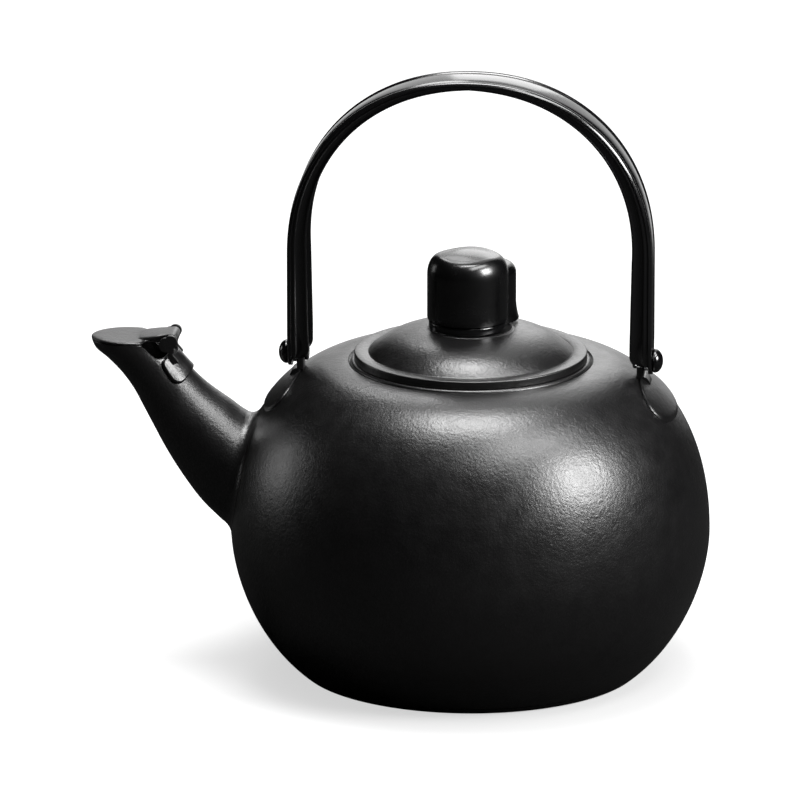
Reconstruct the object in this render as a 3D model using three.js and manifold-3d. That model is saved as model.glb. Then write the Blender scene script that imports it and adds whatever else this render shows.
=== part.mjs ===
// Bail-handled teapot: black coated steel pot with a lift-off lid and a flap on its spout.
// Millimetres, +Z up. Origin: centre of the foot. The spout points to -X.
import * as THREE from 'three';
import { mergeVertices } from 'three/addons/utils/BufferGeometryUtils.js';
import Module from 'manifold-3d';

const wasm = await Module();
wasm.setup();

// Clearances shared by every piece
const seatGap = 0.3;
const turnGap = 0.4;
const cutOverrun = 6;
const mergeDistance = 0.0001;

// Counts of facets
const bodySteps = 36;
const lidSteps = 32;
const smallSteps = 16;
const curveSteps = 8;
const archSteps = 28;
const domeSteps = 6;
const ringSteps = 22;

// Pot
const bodyRadius = 100;
const waistHeight = 59.5;
const shoulderRise = 72.8;
const bellySink = 8;
const bellyCoreRadius = 51;
const rimRadius = 50;
const shoulderPower = 2.1;
const bellyPower = 1.77;
const bodyWall = 1.2;
const rimBeadRadius = 1.2;
const rimBeadLift = 0.7;
const neckRadius = 45;
const neckLipDepth = 3.3;

// Base plate
const baseThickness = 3;
const baseSteps = 4;

// Strainer holes pierced behind the spout
const strainerHoleRadius = 2.4;
const strainerPitch = 6.8;
const strainerRise = 21.5;
const strainerRings = 2;
const strainerSides = 8;
const strainerInnerCount = 6;

// Spout
const spoutReach = 58.8;
const mouthRise = 78.5;
const mouthHalfWidth = 13;
const spoutWall = 1.6;
const hingeNotchGap = 0.8;
const mouthScoopRadius = 6;
const mouthScoopForward = 6;
const mouthScoopSink = 0.5;
// Each station from the pot to the mouth, as shares of the reach, rise and half width above:
// lower edge out and up, upper edge out and up, half width
const spoutShares = [
  [-0.2041, -0.0701, -0.3741, 0.5541, 1.8],
  [0.0034, -0.014, -0.1701, 0.5847, 1.7462],
  [0.1361, 0.0675, -0.0748, 0.6191, 1.6462],
  [0.2313, 0.1414, 0.017, 0.6713, 1.5308],
  [0.3231, 0.2331, 0.1088, 0.7197, 1.3923],
  [0.4099, 0.3299, 0.1837, 0.7631, 1.2615],
  [0.4881, 0.4293, 0.2483, 0.8076, 1.1462],
  [0.5578, 0.5287, 0.3027, 0.8497, 1.0538],
  [0.6276, 0.6293, 0.3503, 0.8879, 0.9923],
  [0.7024, 0.735, 0.3895, 0.921, 0.9615],
  [0.7874, 0.8229, 0.4218, 0.9503, 0.9692],
  [0.8844, 0.8981, 0.4456, 0.972, 0.9846],
  [0.9694, 0.9516, 0.4592, 0.9873, 1],
  [1, 1, 0.4643, 1, 1],
];

// Spout cover and its hinge
const coverThickness = 1.3;
const coverTailHalfWidth = 7;
const coverTailStart = 21.5;
const coverTailOverlap = 2;
const hingePinRadius = 1.8;
const hingePinHalfLength = 11;
const hingePinChamfer = 0.4;
const hingeOffset = 2.7;
const hingePinLift = 0.35;
const curlWall = 1.3;
const curlHalfWidth = 7.4;

// Saddle bracket on the spout
const bracketStrap = 1.3;
const bracketBack = 5;
const bracketDrop = 10.9;
const bracketHalfWidth = 5.3;
const bracketRise = 4;
const bracketReach = 6.5;
const bracketCorner = 4;
const lugThickness = 1.5;
const lugEyeRadius = 3.3;
const lugDiscRadius = 4;
const lugDiscForward = 4.2;
const lugDiscDrop = 3.4;
const lugNeckBack = 5.2;
const lugNeckDrop = 9;
const lugHeelForward = 1;
const lugHeelDrop = 14;

// Lid
const flangeInnerRadius = 42.2;
const flangeRadius = 48.5;
const flangeRise = 3.5;
const domeRise = 10;
const domePower = 4;
const lidSheet = 1;
const seatRingRadius = 17.1;
const seatRingHalfWidth = 0.7;
const seatRingHeight = 0.5;
const skirtClearance = 0.7;
const skirtSheet = 1;
const skirtDrop = 9;
const skirtTabWidth = 2.4;

// Knob, its collar and its screw
const collarRadius = 16.2;
const collarHeight = 3.2;
const knobRadius = 16.9;
const knobShift = 1.3;
const knobHeight = 28.6;
const knobCrown = 0.8;
const knobCorner = 5.5;
const lobeRadius = 15;
const lobeOffset = 15;
const lobeTurn = 10;
const lobeDrop = 8.4;
const lobeCorner = 4;
const lobeFlare = 1.2;
const lobeFlareHeight = 8;
const screwRadius = 2;
const screwHeadRadius = 4;
const screwHeadHeight = 2;
const screwReach = 11.5;
const screwWasherRadius = 7;
const screwWasherThickness = 1;

// Bail
const archInset = 24;
const legRise = 44;
const archPower = 2.15;
const bailHalfWidth = 10;
const bailTopHalfWidth = 11;
const bailWeb = 1.6;
const bailFlange = 1.2;
const bailTopDepth = 3.3;
const bailSpringDepth = 8.4;
const bailFootDepth = 9.3;
const bailGrooveDepth = 0.5;
const bailGrooveWidth = 0.9;
const bailGrooveInset = 2.9;

// Pivots
const pivotRise = 11.1525;
const taperRise = 9;
const taperFootHalfWidth = 7.8;
const webEndDrop = 5.5;
const flangeEndDrop = 1;
const flangeCornerRise = 3.5;
const flangeCornerWidth = 4.2;
const rivetShankRadius = 2.2;
const rivetHeadRadius = 5;
const rivetHeadHeight = 4;
const rivetTailRadius = 3.4;
const rivetTailHeight = 1.6;
const pivotWasherRadius = 4.2;

// Ears
const earThickness = 3;
const earHalfWidth = 4;
const earTopRise = 8.5;
const earWasherRoom = 1.9;
const footThickness = 1.2;
const footOffset = 2.5;
const footHalfDepth = 7.8;
const footHalfWidth = 23;

// Heights and places worked out from the sizes above
const bellyDrop = waistHeight + bellySink;
const rimHeight = waistHeight + shoulderRise + rimBeadLift;
const strainerHeight = waistHeight + strainerRise;
const mouthHeight = waistHeight + mouthRise;
const spoutStations = spoutShares.map(([lowOut, lowUp, highOut, highUp, across]) => ({
  lowX: -(bodyRadius + spoutReach * lowOut),
  lowZ: waistHeight + mouthRise * lowUp,
  highX: -(bodyRadius + spoutReach * highOut),
  highZ: waistHeight + mouthRise * highUp,
  half: mouthHalfWidth * across,
}));
const mouthStation = spoutStations[spoutStations.length - 1];
const hingeX = mouthStation.highX + hingeOffset;
const hingeZ = mouthHeight + seatGap + coverThickness / 2 + hingePinLift;
const bracketCentreX = hingeX + bracketBack;
const bracketCentreZ = hingeZ - bracketDrop;
const flangeHeight = rimHeight + flangeRise;
const skirtRadius = neckRadius - skirtClearance;
const skirtFootHeight = rimHeight - skirtDrop;
const domeTop = flangeHeight + domeRise;
const collarBottom = domeTop + seatGap;
const knobBottom = collarBottom + collarHeight + seatGap;
const screwWasherTop = domeTop - lidSheet - seatGap;
const archRadius = bodyRadius - archInset;
const earOuterX = archRadius - bailWeb - earWasherRoom;
const footCentreRadius = archRadius + footOffset;
const pivotHeight = shoulderHeightAt(archRadius) + pivotRise;
const archHeight = pivotHeight + legRise;

// A closed mesh with merged vertices, outward faces and no empty triangles
function meshData(geometry) {
  const bare = new THREE.BufferGeometry();
  bare.setAttribute('position', geometry.getAttribute('position').clone());
  if (geometry.index) bare.setIndex(geometry.index.clone());
  const merged = mergeVertices(bare, mergeDistance);
  const places = merged.getAttribute('position').array;
  const corner = (i) => new THREE.Vector3(places[3 * i], places[3 * i + 1], places[3 * i + 2]);
  const triangles = [];
  let volume = 0;
  for (let i = 0; i < merged.index.count; i += 3) {
    const [a, b, c] = [0, 1, 2].map((k) => merged.index.getX(i + k));
    if (a === b || b === c || c === a) continue;
    triangles.push([a, b, c]);
    volume += corner(a).dot(corner(b).cross(corner(c)));
  }
  const outward = volume < 0 ? triangles.map(([a, b, c]) => [a, c, b]) : triangles;
  return { places, triangles: outward.flat() };
}

function solid(geometry) {
  const data = meshData(geometry);
  return new wasm.Manifold(new wasm.Mesh({
    numProp: 3,
    vertProperties: new Float32Array(data.places),
    triVerts: new Uint32Array(data.triangles),
  }));
}

function geometryOf(body) {
  const mesh = body.getMesh();
  const geometry = new THREE.BufferGeometry();
  geometry.setAttribute('position', new THREE.BufferAttribute(mesh.vertProperties, mesh.numProp));
  geometry.setIndex(new THREE.BufferAttribute(mesh.triVerts, 1));
  geometry.computeVertexNormals();
  return geometry;
}

// Turned shapes: outline points are radius and height
function turned(outline, steps) {
  const points = outline.map(([radius, height]) => new THREE.Vector2(radius, height));
  return new THREE.LatheGeometry(points, steps).rotateX(Math.PI / 2);
}

function outlineShape(outline) {
  return new THREE.Shape(outline.map(([x, y]) => new THREE.Vector2(x, y)));
}

function extruded(outline, depth) {
  return new THREE.ExtrudeGeometry(outlineShape(outline), { depth, bevelEnabled: false });
}

// An outline in X and Z, extruded along Y from yLow
function extrudedAlongY(outline, yLow, depth) {
  return extruded(outline, depth).rotateX(Math.PI / 2).translate(0, yLow + depth, 0);
}

// An outline in Y and Z, extruded along X from xLow
function extrudedAlongX(outline, xLow, depth) {
  const turn = new THREE.Matrix4().makeBasis(
    new THREE.Vector3(0, 1, 0), new THREE.Vector3(0, 0, 1), new THREE.Vector3(1, 0, 0));
  return extruded(outline, depth).applyMatrix4(turn).translate(xLow, 0, 0);
}

// A round bar along X or Y, centred on the place given
function bar(radius, length, axis, place, steps = smallSteps) {
  const geometry = new THREE.CylinderGeometry(radius, radius, length, steps);
  if (axis === 'x') geometry.rotateZ(Math.PI / 2);
  if (axis === 'z') geometry.rotateX(Math.PI / 2);
  return geometry.translate(...place);
}

// Points of an arc in degrees
function arc(centreX, centreY, radiusX, radiusY, from, to, steps) {
  return Array.from({ length: steps + 1 }, (_, i) => {
    const angle = THREE.MathUtils.degToRad(from + (to - from) * i / steps);
    return [centreX + radiusX * Math.cos(angle), centreY + radiusY * Math.sin(angle)];
  });
}

// The pot's side as two superellipse quarters, grown outward by a distance
function bellyRadiusAt(height, grow = 0) {
  const fall = (waistHeight - height) / (bellyDrop + grow);
  const left = Math.max(1 - fall ** bellyPower, 0);
  return bellyCoreRadius + (bodyRadius - bellyCoreRadius + grow) * left ** (1 / bellyPower);
}

function shoulderRadiusAt(height, grow = 0) {
  const rise = (height - waistHeight) / (shoulderRise + grow);
  const left = Math.max(1 - rise ** shoulderPower, 0);
  return rimRadius + (bodyRadius - rimRadius + grow) * left ** (1 / shoulderPower);
}

function shoulderHeightAt(radius) {
  const across = Math.max(radius - rimRadius, 0) / (bodyRadius - rimRadius);
  return waistHeight + shoulderRise * Math.max(1 - across ** shoulderPower, 0) ** (1 / shoulderPower);
}

function potSide(lowest, grow = 0) {
  const lowShare = (waistHeight - lowest) / (bellyDrop + grow);
  const lowAngle = Math.asin(lowShare ** (bellyPower / 2));
  const belly = Array.from({ length: curveSteps }, (_, i) => {
    const height = waistHeight
      - (bellyDrop + grow) * Math.sin(lowAngle * (1 - i / curveSteps)) ** (2 / bellyPower);
    return [bellyRadiusAt(height, grow), height];
  });
  const shoulder = Array.from({ length: curveSteps + 1 }, (_, i) => {
    const angle = Math.PI / 2 * i / curveSteps;
    const height = waistHeight + (shoulderRise + grow) * Math.sin(angle) ** (2 / shoulderPower);
    return [shoulderRadiusAt(height, grow), height];
  });
  return [...belly, ...shoulder];
}

// The whole pot as a filled solid, used to trim what sits on it
function potFilled(grow) {
  const side = potSide(baseThickness, grow);
  const top = waistHeight + shoulderRise + grow;
  return solid(turned([[0, baseThickness], ...side, [0, top]], bodySteps));
}

function strainerHoles() {
  const places = [[0, strainerHeight]];
  for (let ring = 1; ring <= strainerRings; ring += 1) {
    const count = strainerInnerCount * ring;
    places.push(...arc(0, strainerHeight, strainerPitch * ring, strainerPitch * ring, 0, 360, count)
      .slice(0, count));
  }
  const length = bodyRadius / 2;
  return places.map(([y, z]) => solid(
    bar(strainerHoleRadius, length, 'x', [-bodyRadius, y, z], strainerSides)));
}

function bodyShell() {
  const floor = baseThickness + seatGap;
  const outer = potSide(floor).filter(([radius]) => radius > rimRadius + rimBeadRadius);
  const shoulderTop = waistHeight + shoulderRise;
  const bead = arc(rimRadius, rimHeight - rimBeadRadius, rimBeadRadius, rimBeadRadius, 0, 90, 4);
  const underRim = shoulderTop - bodyWall;
  const inner = potSide(floor + bodyWall, -bodyWall).reverse();
  let pot = solid(turned([
    [0, floor], ...outer, ...bead,
    [neckRadius + rimBeadRadius, rimHeight], [neckRadius, rimHeight - rimBeadRadius],
    [neckRadius, rimHeight - neckLipDepth - rimBeadRadius],
    [neckRadius + bodyWall, rimHeight - neckLipDepth - rimBeadRadius],
    [neckRadius + bodyWall, underRim], ...inner, [0, floor + bodyWall],
  ], bodySteps));
  strainerHoles().forEach((hole) => {
    pot = pot.subtract(hole);
  });
  return pot;
}

function basePlate() {
  const side = Array.from({ length: baseSteps + 1 }, (_, i) => {
    const height = baseThickness * i / baseSteps;
    return [bellyRadiusAt(height), height];
  });
  return solid(turned([[0, 0], ...side, [0, baseThickness]], bodySteps));
}

// Spout stations as rings, each an ellipse between its two edges, grown outward by a distance
function spoutRing(station, grow) {
  const low = new THREE.Vector3(station.lowX, 0, station.lowZ);
  const high = new THREE.Vector3(station.highX, 0, station.highZ);
  const centre = low.clone().add(high).multiplyScalar(0.5);
  const along = high.clone().sub(low).normalize();
  const reach = low.distanceTo(high) / 2 + grow;
  const across = new THREE.Vector3(0, station.half + grow, 0);
  return arc(0, 0, 1, 1, 0, 360, ringSteps).slice(0, ringSteps).map(([u, v]) => centre.clone()
    .addScaledVector(along, u * reach)
    .addScaledVector(across, v));
}

// A closed skin over a run of rings, with a fan over each end
function loft(rings) {
  const places = rings.flat().flatMap((point) => point.toArray());
  const count = rings[0].length;
  const triangles = [];
  for (let ring = 0; ring + 1 < rings.length; ring += 1) {
    for (let i = 0; i < count; i += 1) {
      const next = (i + 1) % count;
      const [a, b] = [ring * count + i, ring * count + next];
      triangles.push(a, b, b + count, a, b + count, a + count);
    }
  }
  const last = (rings.length - 1) * count;
  for (let i = 1; i + 1 < count; i += 1) {
    triangles.push(0, i + 1, i, last, last + i, last + i + 1);
  }
  const geometry = new THREE.BufferGeometry();
  geometry.setAttribute('position', new THREE.Float32BufferAttribute(places, 3));
  geometry.setIndex(triangles);
  return geometry;
}

function spoutFilled(grow, extend = 0) {
  const rings = spoutStations.map((station) => spoutRing(station, grow));
  if (extend > 0) {
    const mouth = rings[rings.length - 1];
    rings.push(mouth.map((point) => point.clone().add(new THREE.Vector3(0, 0, extend))));
  }
  return solid(loft(rings));
}

function spout() {
  const notchRadius = hingePinRadius + seatGap + curlWall + hingeNotchGap;
  const notch = bar(notchRadius, bodyRadius, 'y', [hingeX, 0, hingeZ]);
  const scoop = bar(mouthScoopRadius, bodyRadius, 'y',
    [hingeX - mouthScoopForward, 0, mouthHeight - mouthScoopSink]);
  const tube = spoutFilled(0)
    .subtract(spoutFilled(-spoutWall, cutOverrun))
    .subtract(potFilled(seatGap))
    .subtract(solid(notch))
    .subtract(solid(scoop));
  return tube;
}

function spoutBracket() {
  const shell = spoutFilled(seatGap + bracketStrap).subtract(spoutFilled(seatGap));
  const rise = spoutStations[9];
  const foot = spoutStations[6];
  const along = new THREE.Vector2(rise.highX - foot.highX, rise.highZ - foot.highZ).normalize();
  const outward = new THREE.Vector2(along.y, -along.x);
  const corner = (s, n) => [
    bracketCentreX + s * along.x + n * outward.x, bracketCentreZ + s * along.y + n * outward.y];
  const roundAt = bracketHalfWidth - bracketCorner;
  const roundDrop = bracketCorner - bracketReach;
  const band = [
    ...arc(-roundAt, roundDrop, bracketCorner, bracketCorner, 180, 270, 3),
    ...arc(roundAt, roundDrop, bracketCorner, bracketCorner, 270, 360, 3),
    [bracketHalfWidth, bracketRise], [-bracketHalfWidth, bracketRise],
  ].map(([s, n]) => corner(s, n));
  const saddle = shell.intersect(solid(extrudedAlongY(band, -bodyRadius / 2, bodyRadius)));
  const cheek = [
    [hingeX + lugEyeRadius, hingeZ], [hingeX + lugNeckBack, hingeZ - lugNeckDrop],
    [hingeX + lugHeelForward, hingeZ - lugHeelDrop],
    [hingeX - lugDiscForward - lugDiscRadius / 2, hingeZ - lugDiscDrop - lugDiscRadius / 2],
    [hingeX - lugDiscForward - lugDiscRadius / 2, hingeZ - lugDiscDrop + lugDiscRadius / 2],
    [hingeX - lugEyeRadius / 2, hingeZ + lugEyeRadius / 2]];
  const inner = curlHalfWidth + turnGap + seatGap;
  let bracket = saddle;
  [-1, 1].forEach((side) => {
    const middle = side * (inner + lugThickness / 2);
    const lug = solid(extrudedAlongY(cheek, middle - lugThickness / 2, lugThickness))
      .add(solid(bar(lugEyeRadius, lugThickness, 'y', [hingeX, middle, hingeZ])))
      .add(solid(bar(lugDiscRadius, lugThickness, 'y',
        [hingeX - lugDiscForward, middle, hingeZ - lugDiscDrop])));
    bracket = bracket.add(lug);
  });
  return bracket
    .subtract(solid(bar(hingePinRadius + seatGap, bodyRadius, 'y', [hingeX, 0, hingeZ])))
    .subtract(spoutFilled(seatGap));
}

function spoutHingePin() {
  const tip = hingePinRadius - hingePinChamfer;
  return solid(turned([
    [0, -hingePinHalfLength], [tip, -hingePinHalfLength],
    [hingePinRadius, hingePinChamfer - hingePinHalfLength],
    [hingePinRadius, hingePinHalfLength - hingePinChamfer],
    [tip, hingePinHalfLength], [0, hingePinHalfLength],
  ], smallSteps).rotateX(Math.PI / 2).translate(hingeX, 0, hingeZ));
}

function spoutCover() {
  const mouth = mouthStation;
  const centreX = (mouth.lowX + mouth.highX) / 2;
  const halfLength = (mouth.highX - mouth.lowX) / 2;
  const bore = hingePinRadius + seatGap;
  const curlRadius = bore + curlWall;
  const shoulderX = mouth.lowX + coverTailStart;
  const turnAngle = THREE.MathUtils.radToDeg(Math.acos((shoulderX - centreX) / halfLength));
  const nose = arc(centreX, 0, halfLength, mouth.half, turnAngle, 360 - turnAngle, ringSteps);
  const bottom = mouthHeight + seatGap;
  const plate = solid(extruded(nose, coverThickness).translate(0, 0, bottom));
  const tailEnd = hingeX - bore - seatGap;
  const tail = solid(new THREE.BoxGeometry(
    tailEnd - shoulderX + coverTailOverlap, 2 * coverTailHalfWidth, coverThickness)
    .translate((tailEnd + shoulderX - coverTailOverlap) / 2, 0, bottom + coverThickness / 2));
  const curl = solid(bar(curlRadius, 2 * curlHalfWidth, 'y', [hingeX, 0, hingeZ]));
  const hole = solid(bar(bore, bodyRadius, 'y', [hingeX, 0, hingeZ]));
  return plate.add(tail).add(curl).subtract(hole);
}

function domeHeight(radius) {
  return flangeHeight + domeRise * (1 - (radius / flangeInnerRadius) ** domePower);
}

function lidShell() {
  const hole = screwRadius + seatGap;
  const edge = rimHeight + seatGap;
  const spacing = (from, to, steps) => Array.from(
    { length: steps + 1 }, (_, i) => from + (to - from) * i / steps);
  const ring = [
    [seatRingRadius - seatRingHalfWidth, domeHeight(seatRingRadius)],
    [seatRingRadius, domeHeight(seatRingRadius) + seatRingHeight],
    [seatRingRadius + seatRingHalfWidth, domeHeight(seatRingRadius)]];
  const outsideRadii = spacing(seatRingRadius + 2 * seatRingHalfWidth, flangeInnerRadius, domeSteps);
  const insideRadii = spacing(hole, flangeInnerRadius - lidSheet, domeSteps).reverse();
  return solid(turned([
    [hole, domeHeight(hole)], ...ring,
    ...outsideRadii.map((radius) => [radius, domeHeight(radius)]),
    [flangeRadius, flangeHeight], [flangeRadius, edge], [flangeRadius - lidSheet, edge],
    [flangeRadius - lidSheet, flangeHeight - lidSheet],
    [flangeInnerRadius - lidSheet, flangeHeight - lidSheet],
    ...insideRadii.map((radius) => [radius, domeHeight(radius + lidSheet) - lidSheet]),
    [hole, domeHeight(hole)],
  ], lidSteps));
}

function lidSkirt() {
  const top = flangeHeight - lidSheet - seatGap;
  const inner = skirtRadius - skirtSheet;
  return solid(turned([
    [inner, skirtFootHeight], [skirtRadius, skirtFootHeight], [skirtRadius, top - skirtSheet],
    [skirtRadius + skirtTabWidth, top - skirtSheet], [skirtRadius + skirtTabWidth, top],
    [inner, top], [inner, skirtFootHeight],
  ], lidSteps));
}

function knob() {
  const top = knobBottom + knobHeight;
  const lobeTop = top - lobeDrop;
  const lobeFoot = domeHeight(seatRingRadius) + seatRingHeight + seatGap;
  const main = solid(turned([
    [0, knobBottom], [knobRadius, knobBottom],
    ...arc(knobRadius - knobCorner, top - knobCrown - knobCorner, knobCorner, knobCorner, 0, 90, 5),
    [0, top],
  ], lidSteps).translate(-knobShift, 0, 0));
  const turn = THREE.MathUtils.degToRad(lobeTurn);
  const lobe = solid(turned([
    [0, lobeFoot], [lobeRadius + lobeFlare, lobeFoot], [lobeRadius, lobeFoot + lobeFlareHeight],
    ...arc(lobeRadius - lobeCorner, lobeTop - lobeCorner, lobeCorner, lobeCorner, 0, 90, 4),
    [0, lobeTop],
  ], lidSteps).translate(lobeOffset * Math.sin(turn), lobeOffset * Math.cos(turn), 0));
  const collarRoom = solid(bar(collarRadius + seatGap, 2 * collarHeight, 'z',
    [-knobShift, 0, knobBottom - collarHeight], lidSteps));
  const screwHole = solid(bar(screwRadius + seatGap, 2 * screwReach, 'z', [0, 0, knobBottom]));
  return lobe.subtract(collarRoom).add(main).subtract(screwHole);
}

// A flat ring turned round Z
function ring(inner, outer, low, high, steps = smallSteps) {
  return turned([[inner, low], [outer, low], [outer, high], [inner, high], [inner, low]], steps);
}

function knobCollar() {
  const middle = collarBottom + collarHeight / 2;
  const disc = solid(bar(collarRadius, collarHeight, 'z', [-knobShift, 0, middle], lidSteps));
  return disc.subtract(solid(bar(screwRadius + seatGap, 2 * collarHeight, 'z', [0, 0, middle])));
}

function knobWasher() {
  const low = screwWasherTop - screwWasherThickness;
  return solid(ring(screwRadius + seatGap, screwWasherRadius, low, screwWasherTop));
}

function knobScrew() {
  const headTop = screwWasherTop - screwWasherThickness - seatGap;
  return solid(turned([
    [0, headTop - screwHeadHeight], [screwHeadRadius, headTop - screwHeadHeight],
    [screwHeadRadius, headTop], [screwRadius, headTop],
    [screwRadius, knobBottom + screwReach - seatGap], [0, knobBottom + screwReach - seatGap],
  ], smallSteps));
}

// Depth of the bail's channel at an angle above its spring line, in degrees
function archDepth(angle) {
  return bailTopDepth + (bailSpringDepth - bailTopDepth) * (1 - angle / 90);
}

// Radius of the slightly squared arch at an angle from its spring line, in degrees
function archReach(angle) {
  const turn = THREE.MathUtils.degToRad(angle);
  return archRadius * (Math.cos(turn) ** archPower + Math.sin(turn) ** archPower) ** (-1 / archPower);
}

// The bail's line from the left foot over the top to the right foot, inset by a depth
function bailLine(depthAt, footDepth, low) {
  const right = Array.from({ length: archSteps / 2 + 1 }, (_, i) => {
    const angle = Math.min(180 * i / archSteps, 90);
    const radius = archReach(angle) - depthAt(angle);
    const turn = THREE.MathUtils.degToRad(angle);
    return [radius * Math.cos(turn), archHeight + radius * Math.sin(turn)];
  });
  const foot = [archRadius - footDepth, low];
  const left = right.slice(0, -1).map(([x, z]) => [-x, z]);
  return [[-foot[0], low], ...left, ...right.slice().reverse(), foot];
}

function bailBand(outerDepth, innerDepthAt, innerFootDepth, low, yLow, depth) {
  const outer = bailLine(() => outerDepth, outerDepth, low);
  const inner = bailLine(innerDepthAt, innerFootDepth, low).reverse();
  return solid(extrudedAlongY([...outer, ...inner], yLow, depth));
}

// The bail seen from the side, tapered to its round end, inset by a distance
function bailSide(inset) {
  const top = archHeight + archRadius + cutOverrun;
  const half = [
    [bailTopHalfWidth - inset, top], [bailHalfWidth - inset, archHeight],
    [bailHalfWidth - inset, pivotHeight + taperRise]];
  const end = arc(0, pivotHeight, taperFootHalfWidth - inset, webEndDrop - inset, 0, -180, 12);
  const mirrored = half.map(([y, z]) => [-y, z]).reverse();
  return solid(extrudedAlongX([...half, ...end, ...mirrored], -bodyRadius, 2 * bodyRadius));
}

function bailHandle() {
  const low = pivotHeight - 2 * webEndDrop;
  const width = 2 * (bailTopHalfWidth + cutOverrun);
  const full = bailBand(0, archDepth, bailFootDepth, low, -width / 2, width).intersect(bailSide(0));
  const webLine = bailLine(() => bailWeb, bailWeb, low);
  const hollow = solid(extrudedAlongY(webLine, -width / 2, width)).intersect(bailSide(bailFlange));
  let bail = full.subtract(hollow);
  const webX = archRadius - bailWeb;
  const flangeX = archRadius - bailFootDepth;
  const endHeight = pivotHeight - flangeEndDrop;
  const flangeEnd = [
    [webX, low - cutOverrun], [webX, endHeight], [flangeX + flangeCornerWidth, endHeight],
    [flangeX, pivotHeight + flangeCornerRise], [flangeX - cutOverrun, pivotHeight + flangeCornerRise],
    [flangeX - cutOverrun, low - cutOverrun]];
  const grooveLow = pivotHeight + taperRise;
  [-1, 1].forEach((side) => {
    const cut = flangeEnd.map(([x, z]) => [side * x, z]);
    bail = bail.subtract(solid(extrudedAlongY(cut, -width / 2, width)));
    const grooveY = side * (bailHalfWidth - bailGrooveInset) - bailGrooveWidth / 2;
    bail = bail.subtract(bailBand(
      -cutOverrun, () => bailGrooveDepth, bailGrooveDepth, grooveLow, grooveY, bailGrooveWidth));
  });
  return bail.subtract(
    solid(bar(rivetShankRadius + seatGap, 3 * bodyRadius, 'x', [0, 0, pivotHeight])));
}

// A piece of the right-hand pivot, mirrored for the left-hand one
function mirroredTo(side, body) {
  return side > 0 ? body : body.mirror([1, 0, 0]);
}

function ear(side) {
  const low = shoulderHeightAt(earOuterX);
  const roundCentre = pivotHeight + earTopRise - earHalfWidth;
  const outline = [
    [-earHalfWidth, low], [earHalfWidth, low],
    ...arc(0, roundCentre, earHalfWidth, earHalfWidth, 0, 180, 12)];
  const tongue = solid(extrudedAlongX(outline, earOuterX - earThickness, earThickness));
  const oval = arc(footCentreRadius, 0, footHalfDepth, footHalfWidth, 0, 360, ringSteps)
    .slice(0, ringSteps);
  const foot = solid(extruded(oval, pivotHeight - waistHeight).translate(0, 0, waistHeight))
    .intersect(potFilled(seatGap + footThickness));
  const hole = solid(bar(rivetShankRadius + seatGap, bodyRadius, 'x', [earOuterX, 0, pivotHeight]));
  return mirroredTo(side, tongue.add(foot).subtract(hole).subtract(potFilled(seatGap)));
}

function pivotRivet(side) {
  const headX = archRadius + seatGap;
  const tailX = earOuterX - earThickness - seatGap;
  const outline = [
    [0, tailX - rivetTailHeight], [rivetTailRadius, tailX - rivetTailHeight],
    [rivetTailRadius, tailX], [rivetShankRadius, tailX], [rivetShankRadius, headX],
    ...arc(0, headX, rivetHeadRadius, rivetHeadHeight, 0, 90, 5)];
  const geometry = turned(outline, smallSteps).rotateY(Math.PI / 2).translate(0, 0, pivotHeight);
  return mirroredTo(side, solid(geometry));
}

function pivotWasher(side) {
  const low = earOuterX + seatGap;
  const high = archRadius - bailWeb - seatGap;
  const geometry = ring(rivetShankRadius + seatGap, pivotWasherRadius, low, high)
    .rotateY(Math.PI / 2).translate(0, 0, pivotHeight);
  return mirroredTo(side, solid(geometry));
}

// Finishes seen in the photograph
const finishes = {
  pebbled: { color: 0x17181a, roughness: 0.55, metalness: 0.2 },
  gloss: { color: 0x0b0b0c, roughness: 0.18, metalness: 0.2 },
  moulded: { color: 0x0a0a0b, roughness: 0.15, metalness: 0 },
  steel: { color: 0xb9bbbd, roughness: 0.3, metalness: 1 },
};

const group = new THREE.Group();

function addPiece(name, body, finish) {
  const mesh = new THREE.Mesh(geometryOf(body), new THREE.MeshStandardMaterial(finishes[finish]));
  mesh.name = name;
  group.add(mesh);
}

addPiece('body_shell', bodyShell(), 'pebbled');
addPiece('base_plate', basePlate(), 'pebbled');
addPiece('spout', spout(), 'pebbled');
addPiece('spout_bracket', spoutBracket(), 'gloss');
addPiece('spout_hinge_pin', spoutHingePin(), 'steel');
addPiece('spout_cover', spoutCover(), 'pebbled');
addPiece('lid_shell', lidShell(), 'pebbled');
addPiece('lid_skirt', lidSkirt(), 'steel');
addPiece('knob', knob(), 'moulded');
addPiece('knob_collar', knobCollar(), 'gloss');
addPiece('knob_screw', knobScrew(), 'steel');
addPiece('knob_washer', knobWasher(), 'steel');
addPiece('bail_handle', bailHandle(), 'gloss');
[['left', -1], ['right', 1]].forEach(([word, side]) => {
  addPiece(`ear_${word}`, ear(side), 'gloss');
  addPiece(`pivot_rivet_${word}`, pivotRivet(side), 'gloss');
  addPiece(`pivot_washer_${word}`, pivotWasher(side), 'steel');
});

export default group;
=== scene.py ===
# Studio picture of the bail-handled teapot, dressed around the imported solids.
# Sizes are in millimetres and are written to the meshes in metres.
# The table of an edge holds (inset, rise) pairs.
import math

import bmesh
import bpy
from mathutils import Matrix, Vector

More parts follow.
